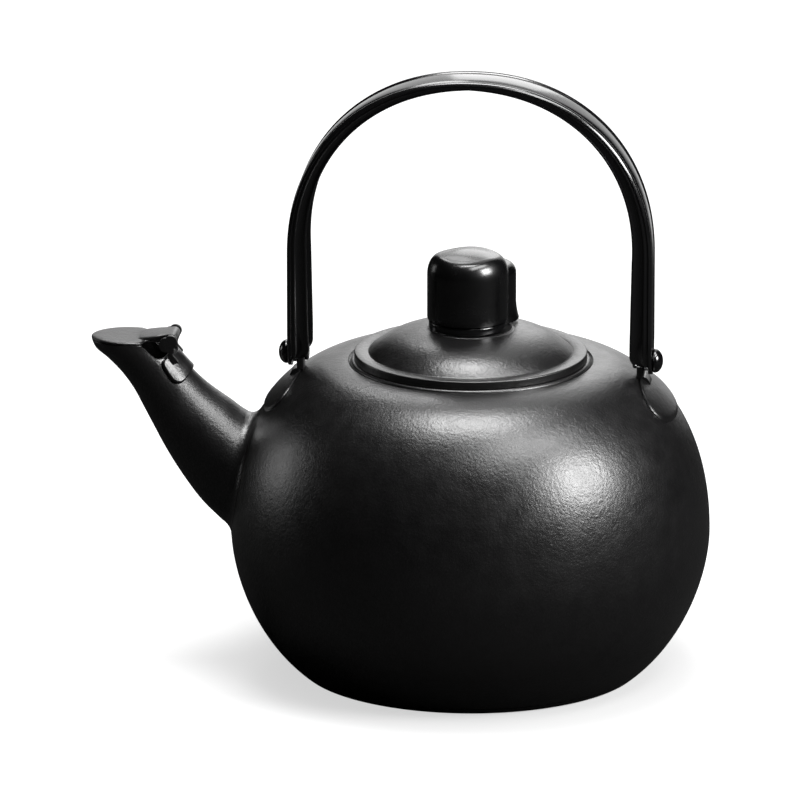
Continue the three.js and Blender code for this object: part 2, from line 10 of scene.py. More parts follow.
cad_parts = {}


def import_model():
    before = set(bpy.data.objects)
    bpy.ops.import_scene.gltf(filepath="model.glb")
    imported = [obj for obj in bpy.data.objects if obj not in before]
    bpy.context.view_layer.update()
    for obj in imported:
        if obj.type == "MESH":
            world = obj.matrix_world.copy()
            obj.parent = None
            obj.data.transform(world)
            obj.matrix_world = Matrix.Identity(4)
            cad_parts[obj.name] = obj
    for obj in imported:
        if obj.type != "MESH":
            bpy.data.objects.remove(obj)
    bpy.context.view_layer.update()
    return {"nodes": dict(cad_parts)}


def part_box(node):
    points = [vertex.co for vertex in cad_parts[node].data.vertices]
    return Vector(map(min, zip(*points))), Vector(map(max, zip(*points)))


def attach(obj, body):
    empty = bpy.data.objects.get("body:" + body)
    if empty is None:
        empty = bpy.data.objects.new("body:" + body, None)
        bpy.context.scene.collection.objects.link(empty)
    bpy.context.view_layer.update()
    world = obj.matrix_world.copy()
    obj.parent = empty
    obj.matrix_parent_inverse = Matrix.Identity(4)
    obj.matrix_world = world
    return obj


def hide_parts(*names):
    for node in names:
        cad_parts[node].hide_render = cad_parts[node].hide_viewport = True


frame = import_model()

MM = 0.001
TAU = 2 * math.pi
WELD_DISTANCE = 0.002
BEVEL_SEGMENTS = 3
BEVEL_ANGLE = 40.0
BODY_STEPS = 192
KNOB_STEPS = 128
RIVET_STEPS = 64
PIN_STEPS = 32


def size_of(node):
    low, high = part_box(node)
    return [v / MM for v in low], [v / MM for v in high]


# Pot
BODY_RADIUS = size_of("body_shell")[1][0]
RIM_HEIGHT = size_of("body_shell")[1][2]
WAIST_HEIGHT = 59.5
SHOULDER_RISE = 72.8
BELLY_DROP = 67.5
BELLY_CORE_RADIUS = 51.0
RIM_RADIUS = 50.0
SHOULDER_POWER = 2.1
BELLY_POWER = 1.77
BODY_WALL = 1.2
RIM_BEAD_RADIUS = 1.2
NECK_RADIUS = 45.0
NECK_LIP_DEPTH = 3.3
NECK_GROOVE_DEPTH = 0.7
NECK_GROOVE_WIDTH = 1.1
SEAM = 0.3
BASE_THICKNESS = size_of("base_plate")[1][2]
BASE_EDGE = [(1.0, 0), (0.3, 0.15)]
POT_SIDE_STEPS = 60

# Strainer holes
STRAINER_HOLE_RADIUS = 2.4
STRAINER_PITCH = 6.8
STRAINER_HEIGHT = 81.0
STRAINER_RINGS = 2
STRAINER_INNER_COUNT = 6
STRAINER_HOLE_STEPS = 24

# Spout, with stations of (low x, low z, high x, high z, half width)
MOUTH_HEIGHT = size_of("spout")[1][2]
SPOUT_WALL = 1.6
SPOUT_FILLET = 5.0
SPOUT_FILLET_SPREAD = 0.8
SPOUT_SKIRT_LIFT = 0.05
SPOUT_RIM_ROUND = 0.7
SPOUT_INSIDE_DROP = 0.15
ROOT_LAST_STATION = 5.0
MOUTH_FIRST_STATION = 8.0
STATION_STEP = 0.02
STATION_SPAN = 0.1
SPOUT_STATIONS = [
    (-88.0, 54.0, -78.0, 103.0, 23.4),
    (-100.2, 58.4, -90.0, 105.4, 22.7),
    (-108.0, 64.8, -95.6, 108.1, 21.4),
    (-113.6, 70.6, -101.0, 112.2, 19.9),
    (-119.0, 77.8, -106.4, 116.0, 18.1),
    (-124.1, 85.4, -110.8, 119.4, 16.4),
    (-128.7, 93.2, -114.6, 122.9, 14.9),
    (-132.8, 101.0, -117.8, 126.2, 13.7),
    (-136.9, 108.9, -120.6, 129.2, 12.9),
    (-141.3, 117.2, -122.9, 131.8, 12.5),
    (-146.3, 124.1, -124.8, 134.1, 12.6),
    (-152.0, 130.0, -126.2, 135.8, 12.8),
    (-157.0, 134.2, -127.0, 137.0, 13.0),
    (-158.8, 138.0, -127.3, 138.0, 13.0),
]

# Lid
FLANGE_INNER_RADIUS = 42.2
FLANGE_RADIUS = size_of("lid_shell")[1][0]
FLANGE_HEIGHT = 136.5
FLANGE_EDGE_ROUND = 0.6
FLANGE_CREASE = [(0.5, 0.25), (1.1, 0)]
DOME_RISE = 10.0
DOME_POWER = 4
LID_SHEET = 1.0
SKIRT_TAB_WIDTH = 2.4
SKIRT_ROUND = 0.3
SEAT_RING_RADIUS = 17.1
SEAT_RING_HALF_WIDTH = 0.7
SEAT_RING_HEIGHT = 0.3
SCREW_HOLE_RADIUS = 2.3

# Knob
COLLAR_RADIUS = size_of("knob_collar")[1][1]
COLLAR_HOLE_ROOM = 1.2
COLLAR_FOOT_ROUND = 0.3
COLLAR_TOP_ROUND = 0.8
KNOB_RADIUS = 16.9
KNOB_SHIFT = 1.3
KNOB_CORNER = 5.5
KNOB_CORNER_HEIGHT = 8.5
KNOB_FOOT_EDGE = [(0.8, 0), (0.2, 0.25), (0, 0.9)]
KNOB_SIDE_START = 3
KNOB_SIDE_STEP = 2
KNOB_WAVE = 0.35
KNOB_WAVE_COUNT = 3
KNOB_WAVE_TURN = 0.6
KNOB_CROWN = 0.8
LOBE_RADIUS = 15.0
LOBE_OFFSET = 15.0
LOBE_TURN = 10.0
LOBE_DROP = 8.4
LOBE_CORNER = 4.0
LOBE_FLARE = 1.2
LOBE_FLARE_HEIGHT = 8.0

# Bail
ARCH_RADIUS = size_of("bail_handle")[1][0]
ARCH_HEIGHT = 178.0
ARCH_POWER = 2.15
BAIL_HALF_WIDTH = 10.0
BAIL_TOP_HALF_WIDTH = size_of("bail_handle")[1][1]
BAIL_WEB = 1.6
BAIL_FLANGE = 1.2
BAIL_TOP_DEPTH = 3.3
BAIL_SPRING_DEPTH = 8.4
BAIL_FOOT_DEPTH = 9.3
BAIL_CORNER = 1.3
BAIL_GROOVE_DEPTH = 0.7
BAIL_FLANGE_GROOVE = 0.55
BAIL_PLAIN_DEPTH = 2.6
BAIL_FLANGE_SHARE = 0.6
BAIL_LIP_FALL = 0.8
BAIL_LIP_SHARE = 0.1
BAIL_LIP_TURNS = (0.4, 0.9, math.pi / 2, 2.2, 2.7)
BAIL_LIP_REACH = 0.6
BAIL_FILLET_RISE = 0.2
BAIL_FILLET_WIDTH = 0.3
BAIL_LEAST_SHARE = 0.0004
BAIL_END_RISES = (-0.02, 0, 0.4, 1.0, 1.8, 2.8, 3.8)
BAIL_TAPER_MIDDLE = 6
BAIL_ARCH_STEPS = 48

# Profiles of the bail: on the outer face, (across, share of the groove's depth) from the middle;
# at its edge, (across, inward); on the side, (share of the height, share of the groove's depth)
BAIL_FACE = [
    (0, 0), (1.5, 0.03), (3.0, 0.11), (4.2, 0.22), (5.1, 0.36), (5.8, 0.58), (6.4, 0.88),
    (6.9, 1.0), (7.2, 0.9), (7.5, 0.55), (7.9, 0.12), (8.2, 0.02),
]
BAIL_FACE_EDGE = [(8.5, 0.0), (9.1, 0.1), (9.6, 0.45)]
BAIL_SIDE = [
    (0.03, 0.6), (0.056, 1.0), (0.085, 1.0), (0.127, 0.75), (0.183, 0.3), (0.225, 0.05), (0.254, 0.0),
    (0.282, 0.0), (0.31, 0.4), (0.352, 1.0), (0.76, 1.0), (0.82, 0.5), (0.88, 0.05), (0.91, 0.0),
]

# Pivots and ears
PIVOT_HEIGHT = 134.0
TAPER_RISE = 9.0
TAPER_FOOT_HALF_WIDTH = 7.8
WEB_END_DROP = 5.5
FLANGE_END_DROP = 1.0
FLANGE_CORNER_RISE = 3.5
FLANGE_CORNER_WIDTH = 4.2
RIVET_HEAD_RADIUS = 5.0
RIVET_HEAD_GAP = 0.05
RIVET_HEAD_EDGE = [(0.6, 0), (0.15, 0.25)]
RIVET_HEAD_RIM = 0.8
RIVET_SHANK_RADIUS = 2.2
RIVET_TAIL_RADIUS = 3.4
RIVET_TAIL_HEIGHT = 1.6
RIVET_TAIL_ROUND = 1
EAR_THICKNESS = 3.0
EAR_HALF_WIDTH = 4.0
EAR_EDGE = 0.6
EAR_TOP_RISE = 8.5
EAR_WASHER_ROOM = 1.9
EAR_OUTER_X = ARCH_RADIUS - BAIL_WEB - EAR_WASHER_ROOM
EAR_FOOT_DROP = 7.0
EAR_BEND = 3.0
EAR_BEND_TOP = 127.9
EAR_BEND_SINK = 0.5
EAR_BEND_BACK = 1
FOOT_THICKNESS = 0.8
FOOT_EDGE_DROP = 0.9
FOOT_CENTRE_RADIUS = 78.5
FOOT_HALF_DEPTH = 7.8
FOOT_HALF_WIDTH = 23.0
FOOT_STEPS = 72
FOOT_LIFT = 0.02
FOOT_PROFILE = [
    (0.01, 0.0), (0.35, 0.0), (0.65, 0.0), (0.88, 0.0), (0.94, -0.1), (0.98, -0.4), (1.0, -1.0),
]
FOOT_UNDER_SHARES = (1.0, 0.6, 0.01)

# Spout cover, hinge and bracket
HINGE_X = -124.6
HINGE_Z = 139.3
PIN_RADIUS = 1.5
PIN_DOME = 0.7
PIN_DOME_TURN = 80
SCOOP_RADIUS = 5.0
SCOOP_FORWARD = 4.4
SCOOP_SINK = 1.0
HINGE_NOTCH_RADIUS = 4.2
COVER_THICKNESS = 1.3
COVER_EDGE = 3.2
COVER_NOSE_GAP = 4
COVER_CORNER_START = 0.6
COVER_CORNER_LENGTH = 1.4
COVER_CORNER_SHARES = (0.15, 0.4, 0.7, 1.0)
COVER_TAIL_LENGTH = 3.4
COVER_TAIL_HALF_WIDTH = 7.0
COVER_TAIL_START = 21.5
HOOD_RADIUS = 2.5
HOOD_WALL = 0.9
TAIL_WALL = 1.8
HOOD_HALF_WIDTH = 6.2
HOOD_OVERLAP = 1.5
HOOD_NARROW_START = 7.0
HOOD_NARROW_LENGTH = 4.5
HOOD_END_ANGLE = -75.0
HOOD_RISE_START = 14.0
HOOD_RISE_POWER = 0.6
DOME_RIM_SHARE = 0.35
PLUG_START = 12.5
PLUG_START_RISE = 0.8
PLUG_END = 3.0
PLUG_END_RISE = 1.2
PLUG_DROP = 1.5
PLUG_HALF_WIDTH = 5.0
BRACKET_STRAP = 1.3
BRACKET_BACK = 3.9
BRACKET_HALF_WIDTH = 5.3
BRACKET_CORNER = 4.0
BRACKET_WRAP = 1.06
BRACKET_SLANT = 1.5
BRACKET_MM_PER_RADIAN = 10
BRACKET_STEP = 0.8
BRACKET_EDGE = 0.7
BRACKET_SINK = 0.1
BRACKET_FIRST_STATION = 250
STATIONS_PER_UNIT = 50
LUG_INNER = 8.1
LUG_THICKNESS = 1.5
LUG_EYE_RADIUS = 2.6
LUG_DISC_RADIUS = 3.1
LUG_DISC_FORWARD = 2.0
LUG_DISC_DROP = 1.5
LUG_EDGE = 0.4
LUG_NECK = [
    (1.9, -1.6, 0.5), (-2.4, 0.4, 0.5), (-1.0, -4.5, 1.0),
    (-1.4, -11.2, 0.5), (3.4, -8.8, 0.5), (0.6, -5.5, 2.0),
]

# Finishes: a noise is (scale, detail, roughness), a roughness (lowest, highest), a bump (strength, depth)
NOISE_ROUGHNESS = 0.55
NOISE_RANGE = (0.3, 0.7)
PEBBLED_DARK = (0.0024, 0.0024, 0.0027)
PEBBLED_LIGHT = (0.004, 0.0037, 0.0037)
PEBBLED_TINT = (28.0, 3.0)
PEBBLED_SPECULAR = 0.8
PEBBLED_SHEEN = (130.0, 4.0)
PEBBLED_ROUGHNESS = (0.29, 0.36)
PEBBLES = (950.0, 3.0, 0.6)
WRINKLES = (420.0, 3.0, 0.5)
PEBBLED_BUMP = (0.32, 0.35)
GLOSS_BASE = (0.002, 0.002, 0.0022)
GLOSS_SPECULAR = 0.9
GLOSS_SHEEN = (60.0, 3.0)
GLOSS_ROUGHNESS = (0.13, 0.2)
GLOSS_RIPPLE = (180.0, 2.0)
GLOSS_BUMP = (0.12, 0.3)
KNOB_BASE = (0.0015, 0.0015, 0.0016)
KNOB_SPECULAR = 0.8
KNOB_SHEEN = (90.0, 3.0)
KNOB_ROUGHNESS = (0.22, 0.29)
KNOB_RIPPLE = (60.0, 1.0)
KNOB_BUMP = (0.4, 1.2)
STEEL_BASE = (0.55, 0.55, 0.56)
STEEL_GRAIN = (300.0, 5.0)
STEEL_ROUGHNESS = (0.25, 0.4)

# Camera
CAMERA_AZIMUTH = 5.5
CAMERA_ELEVATION = 16.0
CAMERA_DISTANCE = 5000.0
CAMERA_TARGET = (-29.3, -2.8, 114.9)
CAMERA_LENS = 540.0
SENSOR_WIDTH = 36.0
CAMERA_REACH = 50

# Studio, in metres and light levels
FLOOR_SIZE = 12.0
FLOOR_GAP = 0.0001
FLOOR_ROUGHNESS = 0.9
FLOOR_TONE = 0.22
# The floor is darker where the pot mirrors it than to the camera and lamps: painted shade in the pot's
# reflections of the floor.
FLOOR_MIRRORED_TONE = 0.02
# The floor's camera glow is dimmer near the pot, which paints shade onto the floor round the foot on top
# of its real shadow; farther out the full glow paints over the real shadow.
FLOOR_GLOW_IN_PAINTED_SHADE = 0.62
FLOOR_GLOW_START = 0.07
FLOOR_GLOW_FULL = 0.16
FLOOR_STRIP_START = 0.6
FLOOR_STRIP_FULL = 0.9
ROOM_LEVEL = 0.01
BACKGROUND_SPREAD = 0.26
BACKGROUND_SOFTNESS = 0.12

# Lamps: azimuth, elevation, width, height in metres, and power in watts
LAMP_DISTANCE = 1.5
LAMP_TARGET = (0, 0, 0.1)
LAMPS = [
    ("top_softbox", 180, 88, 0.75, 0.65, 23.5),
    ("front_strip", 48, 60, 1.1, 0.4, 14),
    ("right_softbox", 61, 29, 0.65, 0.6, 29),
    ("back_softbox", 174, 20, 0.4, 0.5, 1.2),
    ("back_left_softbox", -170, 43, 0.3, 0.3, 1.6),
    ("left_card", -112, 10, 0.5, 0.5, 1.6),
]


# Materials

def new_material(name):
    material = bpy.data.materials.new(name)
    material.use_nodes = True
    nodes = material.node_tree.nodes
    return material, nodes, material.node_tree.links, nodes["Principled BSDF"]


def math_node(nodes, links, operation, first, second=None):
    node = nodes.new("ShaderNodeMath")
    node.operation = operation
    for slot, value in enumerate((first, second)):
        if value is None:
            continue
        if isinstance(value, (int, float)):
            node.inputs[slot].default_value = value
        else:
            links.new(value, node.inputs[slot])
    return node.outputs["Value"]


def object_noise(nodes, links, scale, detail, roughness=NOISE_ROUGHNESS):
    place = nodes.new("ShaderNodeTexCoord")
    noise = nodes.new("ShaderNodeTexNoise")
    noise.inputs["Scale"].default_value = scale
    noise.inputs["Detail"].default_value = detail
    noise.inputs["Roughness"].default_value = roughness
    links.new(place.outputs["Object"], noise.inputs["Vector"])
    return noise


def roughened(nodes, links, shader, noise, levels):
    spread = nodes.new("ShaderNodeMapRange")
    spread.inputs["From Min"].default_value, spread.inputs["From Max"].default_value = NOISE_RANGE
    spread.inputs["To Min"].default_value, spread.inputs["To Max"].default_value = levels
    links.new(object_noise(nodes, links, *noise).outputs["Fac"], spread.inputs["Value"])
    links.new(spread.outputs["Result"], shader.inputs["Roughness"])


def bumped(nodes, links, shader, height, strength, depth):
    bump = nodes.new("ShaderNodeBump")
    bump.inputs["Strength"].default_value = strength
    bump.inputs["Distance"].default_value = depth * MM
    links.new(height, bump.inputs["Height"])
    links.new(bump.outputs["Normal"], shader.inputs["Normal"])


def pebbled_coating():
    material, nodes, links, shader = new_material("pebbled_coating")
    shader.inputs["Specular IOR Level"].default_value = PEBBLED_SPECULAR
    tint = object_noise(nodes, links, *PEBBLED_TINT)
    mix = nodes.new("ShaderNodeMix")
    mix.data_type = "RGBA"
    mix.inputs["A"].default_value = (*PEBBLED_DARK, 1)
    mix.inputs["B"].default_value = (*PEBBLED_LIGHT, 1)
    links.new(tint.outputs["Fac"], mix.inputs["Factor"])
    links.new(mix.outputs["Result"], shader.inputs["Base Color"])
    roughened(nodes, links, shader, PEBBLED_SHEEN, PEBBLED_ROUGHNESS)
    pebbles = object_noise(nodes, links, *PEBBLES)
    wrinkles = object_noise(nodes, links, *WRINKLES)
    height = math_node(nodes, links, "ADD", pebbles.outputs["Fac"], wrinkles.outputs["Fac"])
    bumped(nodes, links, shader, height, *PEBBLED_BUMP)
    return material


def gloss_coating():
    material, nodes, links, shader = new_material("gloss_coating")
    shader.inputs["Base Color"].default_value = (*GLOSS_BASE, 1)
    shader.inputs["Specular IOR Level"].default_value = GLOSS_SPECULAR
    roughened(nodes, links, shader, GLOSS_SHEEN, GLOSS_ROUGHNESS)
    ripple = object_noise(nodes, links, *GLOSS_RIPPLE)
    bumped(nodes, links, shader, ripple.outputs["Fac"], *GLOSS_BUMP)
    return material


def knob_plastic():
    material, nodes, links, shader = new_material("knob_plastic")
    shader.inputs["Base Color"].default_value = (*KNOB_BASE, 1)
    shader.inputs["Specular IOR Level"].default_value = KNOB_SPECULAR
    roughened(nodes, links, shader, KNOB_SHEEN, KNOB_ROUGHNESS)
    ripple = object_noise(nodes, links, *KNOB_RIPPLE)
    bumped(nodes, links, shader, ripple.outputs["Fac"], *KNOB_BUMP)
    return material


def bare_steel():
    material, nodes, links, shader = new_material("bare_steel")
    shader.inputs["Metallic"].default_value = 1.0
    shader.inputs["Base Color"].default_value = (*STEEL_BASE, 1)
    roughened(nodes, links, shader, STEEL_GRAIN, STEEL_ROUGHNESS)
    return material


MATERIALS = {
    "pebbled_coating": pebbled_coating(),
    "gloss_coating": gloss_coating(),
    "knob_plastic": knob_plastic(),
    "bare_steel": bare_steel(),
}


# Meshes

def new_object(name, points, faces):
    mesh = bpy.data.meshes.new(name)
    mesh.from_pydata([[v * MM for v in point] for point in points], [], faces)
    piece = bpy.data.objects.new(name, mesh)
    bpy.context.collection.objects.link(piece)
    tidy_mesh(mesh)
    return piece


def tidy_mesh(mesh):
    work = bmesh.new()
    work.from_mesh(mesh)
    bmesh.ops.remove_doubles(work, verts=work.verts, dist=WELD_DISTANCE * MM)
    bmesh.ops.recalc_face_normals(work, faces=work.faces)
    work.to_mesh(mesh)
    work.free()


def dress(piece, node, body, slot, sharp=40.0, finish=None):
    for face in piece.data.polygons:
        face.use_smooth = True
    piece.data.set_sharp_from_angle(angle=math.radians(sharp))
    piece.data.materials.clear()
    piece.data.materials.append(MATERIALS[finish or slot])
    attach(piece, body)
    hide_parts(node)


def with_modifier(piece, kind, **settings):
    modifier = piece.modifiers.new("step", kind)
    for key, value in settings.items():
        setattr(modifier, key, value)
    shown = piece.evaluated_get(bpy.context.evaluated_depsgraph_get())
    mesh = bpy.data.meshes.new_from_object(shown)
    piece.modifiers.clear()
    piece.data = mesh
    return piece


def combined(piece, other, operation):
    with_modifier(piece, "BOOLEAN", object=other, operation=operation, solver="EXACT")
    bpy.data.objects.remove(other)


def rounded(corners, steps=5):
    """A closed outline from (x, y, radius) corners, with an arc at each corner that has a radius."""
    outline = []
    count = len(corners)
    for i, (x, y, radius) in enumerate(corners):
        here = Vector((x, y))
        before = Vector(corners[i - 1][:2]) - here
        after = Vector(corners[(i + 1) % count][:2]) - here
        if radius <= 0:
            outline.append((x, y))
            continue
        half = before.angle(after) / 2
        reach = min(radius / math.tan(half), before.length / 2, after.length / 2)
        start = here + before.normalized() * reach
        end = here + after.normalized() * reach
        for k in range(steps + 1):
            t = k / steps
            point = start * (1 - t) ** 2 + here * 2 * t * (1 - t) + end * t * t
            outline.append((point.x, point.y))
    return outline


def lathe(name, outline, steps, closed=False):
    """A turned solid from (radius, height) points, which end on the axis or close on themselves."""
    points, rings = [], []
    for radius, height in outline:
        if radius < 1e-6:
            rings.append([len(points)] * steps)
            points.append((0, 0, height))
        else:
            rings.append(list(range(len(points), len(points) + steps)))
            points += [(radius * math.cos(TAU * k / steps), radius * math.sin(TAU * k / steps), height)
                       for k in range(steps)]
    faces = []
    pairs = list(zip(rings, rings[1:]))
    if closed:
        pairs.append((rings[-1], rings[0]))
    for low, high in pairs:
        for k in range(steps):
            n = (k + 1) % steps
            face = list(dict.fromkeys([low[k], low[n], high[n], high[k]]))
            if len(face) > 2:
                faces.append(face)
    return new_object(name, points, faces)


def skin(name, rings, looped=False):
    """A skin over rings of equal length, which are capped at both ends or looped."""
    count = len(rings[0])
    points = [point for ring in rings for point in ring]
    faces = []
    spans = len(rings) if looped else len(rings) - 1
    for i in range(spans):
        low, high = i * count, ((i + 1) % len(rings)) * count
        for k in range(count):
            n = (k + 1) % count
            faces.append((low + k, low + n, high + n, high + k))
    if not looped:
        faces.append(list(range(count)))
        faces.append(list(range(len(points) - count, len(points))))
    return new_object(name, points, faces)


def prism(name, outline, low, high, place):
    """An outline raised between two depths; place turns (u, v, depth) into x, y, z."""
    count = len(outline)
    points = [place(u, v, low) for u, v in outline] + [place(u, v, high) for u, v in outline]
    faces = [list(range(count)), list(range(count, 2 * count))]
    faces += [(k, (k + 1) % count, count + (k + 1) % count, count + k) for k in range(count)]
    return new_object(name, points, faces)


def bevelled(piece, width):
    return with_modifier(piece, "BEVEL", width=width * MM, segments=BEVEL_SEGMENTS,
                         limit_method="ANGLE", angle_limit=math.radians(BEVEL_ANGLE))


def shifted(piece, x, y):
    piece.data.transform(Matrix.Translation((x * MM, y * MM, 0)))


def arc(centre_x, centre_y, radius_x, radius_y, start, end, steps):
    return [(centre_x + radius_x * math.cos(math.radians(start + (end - start) * k / steps)),
             centre_y + radius_y * math.sin(math.radians(start + (end - start) * k / steps)))
            for k in range(steps + 1)]


def circle(x, y, radius, steps):
    return arc(x, y, radius, radius, 0, 360, steps)[:-1]


def along_x(u, v, depth):
    return (depth, u, v)


def along_y(u, v, depth):
    return (u, depth, v)


def along_z(u, v, depth):
    return (u, v, depth)


# Pot

def pot_radius(height, grow=0.0):
    if height < WAIST_HEIGHT:
        fall = (WAIST_HEIGHT - height) / (BELLY_DROP + grow)
        left = max(1 - fall ** BELLY_POWER, 0.0)
        return BELLY_CORE_RADIUS + (BODY_RADIUS - BELLY_CORE_RADIUS + grow) * left ** (1 / BELLY_POWER)
    rise = (height - WAIST_HEIGHT) / (SHOULDER_RISE + grow)
    left = max(1 - rise ** SHOULDER_POWER, 0.0)
    return RIM_RADIUS + (BODY_RADIUS - RIM_RADIUS + grow) * left ** (1 / SHOULDER_POWER)


def pot_height(radius, grow=0.0):
    """Height of the shoulder's surface at a radius."""
    across = max(radius - RIM_RADIUS, 0.0) / (BODY_RADIUS - RIM_RADIUS + grow)
    left = max(1 - across ** SHOULDER_POWER, 0.0)
    return WAIST_HEIGHT + (SHOULDER_RISE + grow) * left ** (1 / SHOULDER_POWER)


def pot_side(lowest, grow=0.0):
    steps = POT_SIDE_STEPS
    low_share = (WAIST_HEIGHT - lowest) / (BELLY_DROP + grow)
    low_angle = math.asin(low_share ** (BELLY_POWER / 2))
    side = []
    for k in range(steps):
        share = math.sin(low_angle * (1 - k / steps)) ** (2 / BELLY_POWER)
        height = WAIST_HEIGHT - (BELLY_DROP + grow) * share
        side.append((pot_radius(height, grow), height))
    for k in range(steps + 1):
        share = math.sin(math.pi / 2 * k / steps) ** (2 / SHOULDER_POWER)
        height = WAIST_HEIGHT + (SHOULDER_RISE + grow) * share
        side.append((pot_radius(height, grow), height))
    return side


def body_shell():
    floor = BASE_THICKNESS + SEAM
    groove_edge = RIM_RADIUS + NECK_GROOVE_WIDTH
    outer = [p for p in pot_side(floor) if p[0] > groove_edge]
    groove_height = pot_height(RIM_RADIUS) - NECK_GROOVE_DEPTH
    bead_centre = RIM_HEIGHT - RIM_BEAD_RADIUS
    groove = [(groove_edge, pot_height(groove_edge)),
              (RIM_RADIUS + NECK_GROOVE_WIDTH / 2, groove_height + NECK_GROOVE_DEPTH / 3),
              (RIM_RADIUS, groove_height)]
    bead = arc(RIM_RADIUS - RIM_BEAD_RADIUS, bead_centre, RIM_BEAD_RADIUS, RIM_BEAD_RADIUS, 0, 90, 8)
    lip_foot = bead_centre - NECK_LIP_DEPTH
    lip = arc(NECK_RADIUS + RIM_BEAD_RADIUS, bead_centre, RIM_BEAD_RADIUS, RIM_BEAD_RADIUS, 90, 180, 8)
    lip += [(NECK_RADIUS, lip_foot), (NECK_RADIUS + BODY_WALL, lip_foot),
            (NECK_RADIUS + BODY_WALL, WAIST_HEIGHT + SHOULDER_RISE - BODY_WALL)]
    inner = pot_side(floor + BODY_WALL, -BODY_WALL)[::-1]
    outline = [(0, floor)] + outer + groove + bead + lip + inner + [(0, floor + BODY_WALL)]
    pot = lathe("pot_body", outline, BODY_STEPS)
    places = [(0.0, STRAINER_HEIGHT)]
    for ring in range(1, STRAINER_RINGS + 1):
        reach = STRAINER_PITCH * ring
        places += circle(0, STRAINER_HEIGHT, reach, STRAINER_INNER_COUNT * ring)
    for y, z in places:
        hole = circle(y, z, STRAINER_HOLE_RADIUS, STRAINER_HOLE_STEPS)
        cutter = prism("cutter", hole, -BODY_RADIUS - STRAINER_PITCH, -BODY_RADIUS / 2, along_x)
        combined(pot, cutter, "DIFFERENCE")
    dress(pot, "body_shell", "pot", "pebbled_coating")


def base_plate():
    side = [(pot_radius(BASE_THICKNESS * k / 6), BASE_THICKNESS * k / 6) for k in range(1, 7)]
    foot = pot_radius(0)
    edge = [(foot - inset, height) for inset, height in BASE_EDGE]
    outline = [(0, 0)] + edge + side + [(0, BASE_THICKNESS)]
    dress(lathe("pot_foot", outline, BODY_STEPS), "base_plate", "pot", "pebbled_coating")


# Spout

def spline(values, t):
    """A Catmull-Rom value at t, counted in stations."""
    last = len(values) - 1
    i = min(int(t), last - 1)
    u = t - i
    a, b, c, d = (values[max(i - 1, 0)], values[i], values[i + 1], values[min(i + 2, last)])
    return 0.5 * (2 * b + (c - a) * u + (2 * a - 5 * b + 4 * c - d) * u * u
                  + (3 * b - a - 3 * c + d) * u ** 3)


def spout_point(t, angle, grow=0.0):
    low_x, low_z, high_x, high_z, half = (
        spline([station[k] for station in SPOUT_STATIONS], t) for k in range(5))
    low, high = Vector((low_x, 0, low_z)), Vector((high_x, 0, high_z))
    along = (high - low).normalized()
    reach = (high - low).length / 2 + grow
    point = (low + high) / 2 + along * reach * math.cos(angle)
    point.y += (half + grow) * math.sin(angle)
    return point


def outside_pot(point):
    return math.hypot(point.x, point.y) - pot_radius(point.z)


def spout_root(angle, grow=0.0):
    low, high = 0.0, ROOT_LAST_STATION
    for _ in range(30):
        middle = (low + high) / 2
        if outside_pot(spout_point(middle, angle, grow)) > 0:
            high = middle
        else:
            low = middle
    return high


def onto_pot(point):
    radius = pot_radius(point.z) + SPOUT_SKIRT_LIFT
    scale = radius / math.hypot(point.x, point.y)
    return Vector((point.x * scale, point.y * scale, point.z))


def in_mouth_cut(point):
    """True above the mouth, in the scoops behind it and in the notch for the hinge."""
    scoop_x, scoop_z = HINGE_X - SCOOP_FORWARD, MOUTH_HEIGHT - SCOOP_SINK
    return (point.z > MOUTH_HEIGHT
            or math.hypot(point.x - scoop_x, point.z - scoop_z) < SCOOP_RADIUS
            or math.hypot(point.x - HINGE_X, point.z - HINGE_Z) < HINGE_NOTCH_RADIUS)


def spout_end(angle):
    """How far along its stations the spout's wall runs before it meets the mouth's edge."""
    last = len(SPOUT_STATIONS) - 1
    t = MOUTH_FIRST_STATION
    while t < last and not in_mouth_cut(spout_point(t, angle)):
        t += STATION_STEP
    return min(t, last)


def smoothed(values):
    count = len(values)
    return [(values[i - 1] + 2 * values[i] + values[(i + 1) % count]) / 4 for i in range(count)]


def spout():
    stations, fillet_steps = 70, 6
    angles = [TAU * k / BODY_STEPS for k in range(BODY_STEPS)]
    ends = smoothed([spout_end(a) for a in angles])
    columns = []
    for angle, end in zip(angles, ends):
        start, inner_start = spout_root(angle), spout_root(angle, -SPOUT_WALL)
        root = spout_point(start, angle)
        step = (spout_point(start + STATION_SPAN, angle) - root).length / STATION_SPAN
        lift = start + SPOUT_FILLET / step
        top = spout_point(lift, angle)
        away = root - (root + spout_point(start, angle + math.pi)) / 2
        skirt = onto_pot(root + away.normalized() * SPOUT_FILLET * SPOUT_FILLET_SPREAD)
        column = [skirt * (1 - u) ** 2 + root * 2 * u * (1 - u) + top * u * u
                  for u in (k / fillet_steps for k in range(fillet_steps + 1))]
        column += [spout_point(lift + (end - lift) * k / stations, angle) for k in range(1, stations)]
        rim = spout_point(end, angle)
        inside = spout_point(end, angle, -SPOUT_WALL)
        toward = (inside - rim).normalized()
        rising = (rim - spout_point(end - STATION_SPAN, angle)).normalized()
        half = (inside - rim).length / 2
        bulge = rising * half * SPOUT_RIM_ROUND
        middle = (rim + inside) / 2 - bulge
        for k in range(9):
            turn = math.pi * k / 8
            column.append(middle - toward * half * math.cos(turn) + bulge * math.sin(turn))
        inner_end = end - SPOUT_INSIDE_DROP
        column += [spout_point(inner_end + (inner_start - end) * k / stations, angle, -SPOUT_WALL)
                   for k in range(1, stations + 1)]
        columns.append([tuple(p) for p in column])
    rings = [[column[i] for column in columns] for i in range(len(columns[0]))]
    piece = skin("spout_tube", rings, looped=True)
    dress(piece, "spout", "pot", "pebbled_coating", 60.0)


# Lid

def dome_height(radius):
    return FLANGE_HEIGHT + DOME_RISE * (1 - (radius / FLANGE_INNER_RADIUS) ** DOME_POWER)


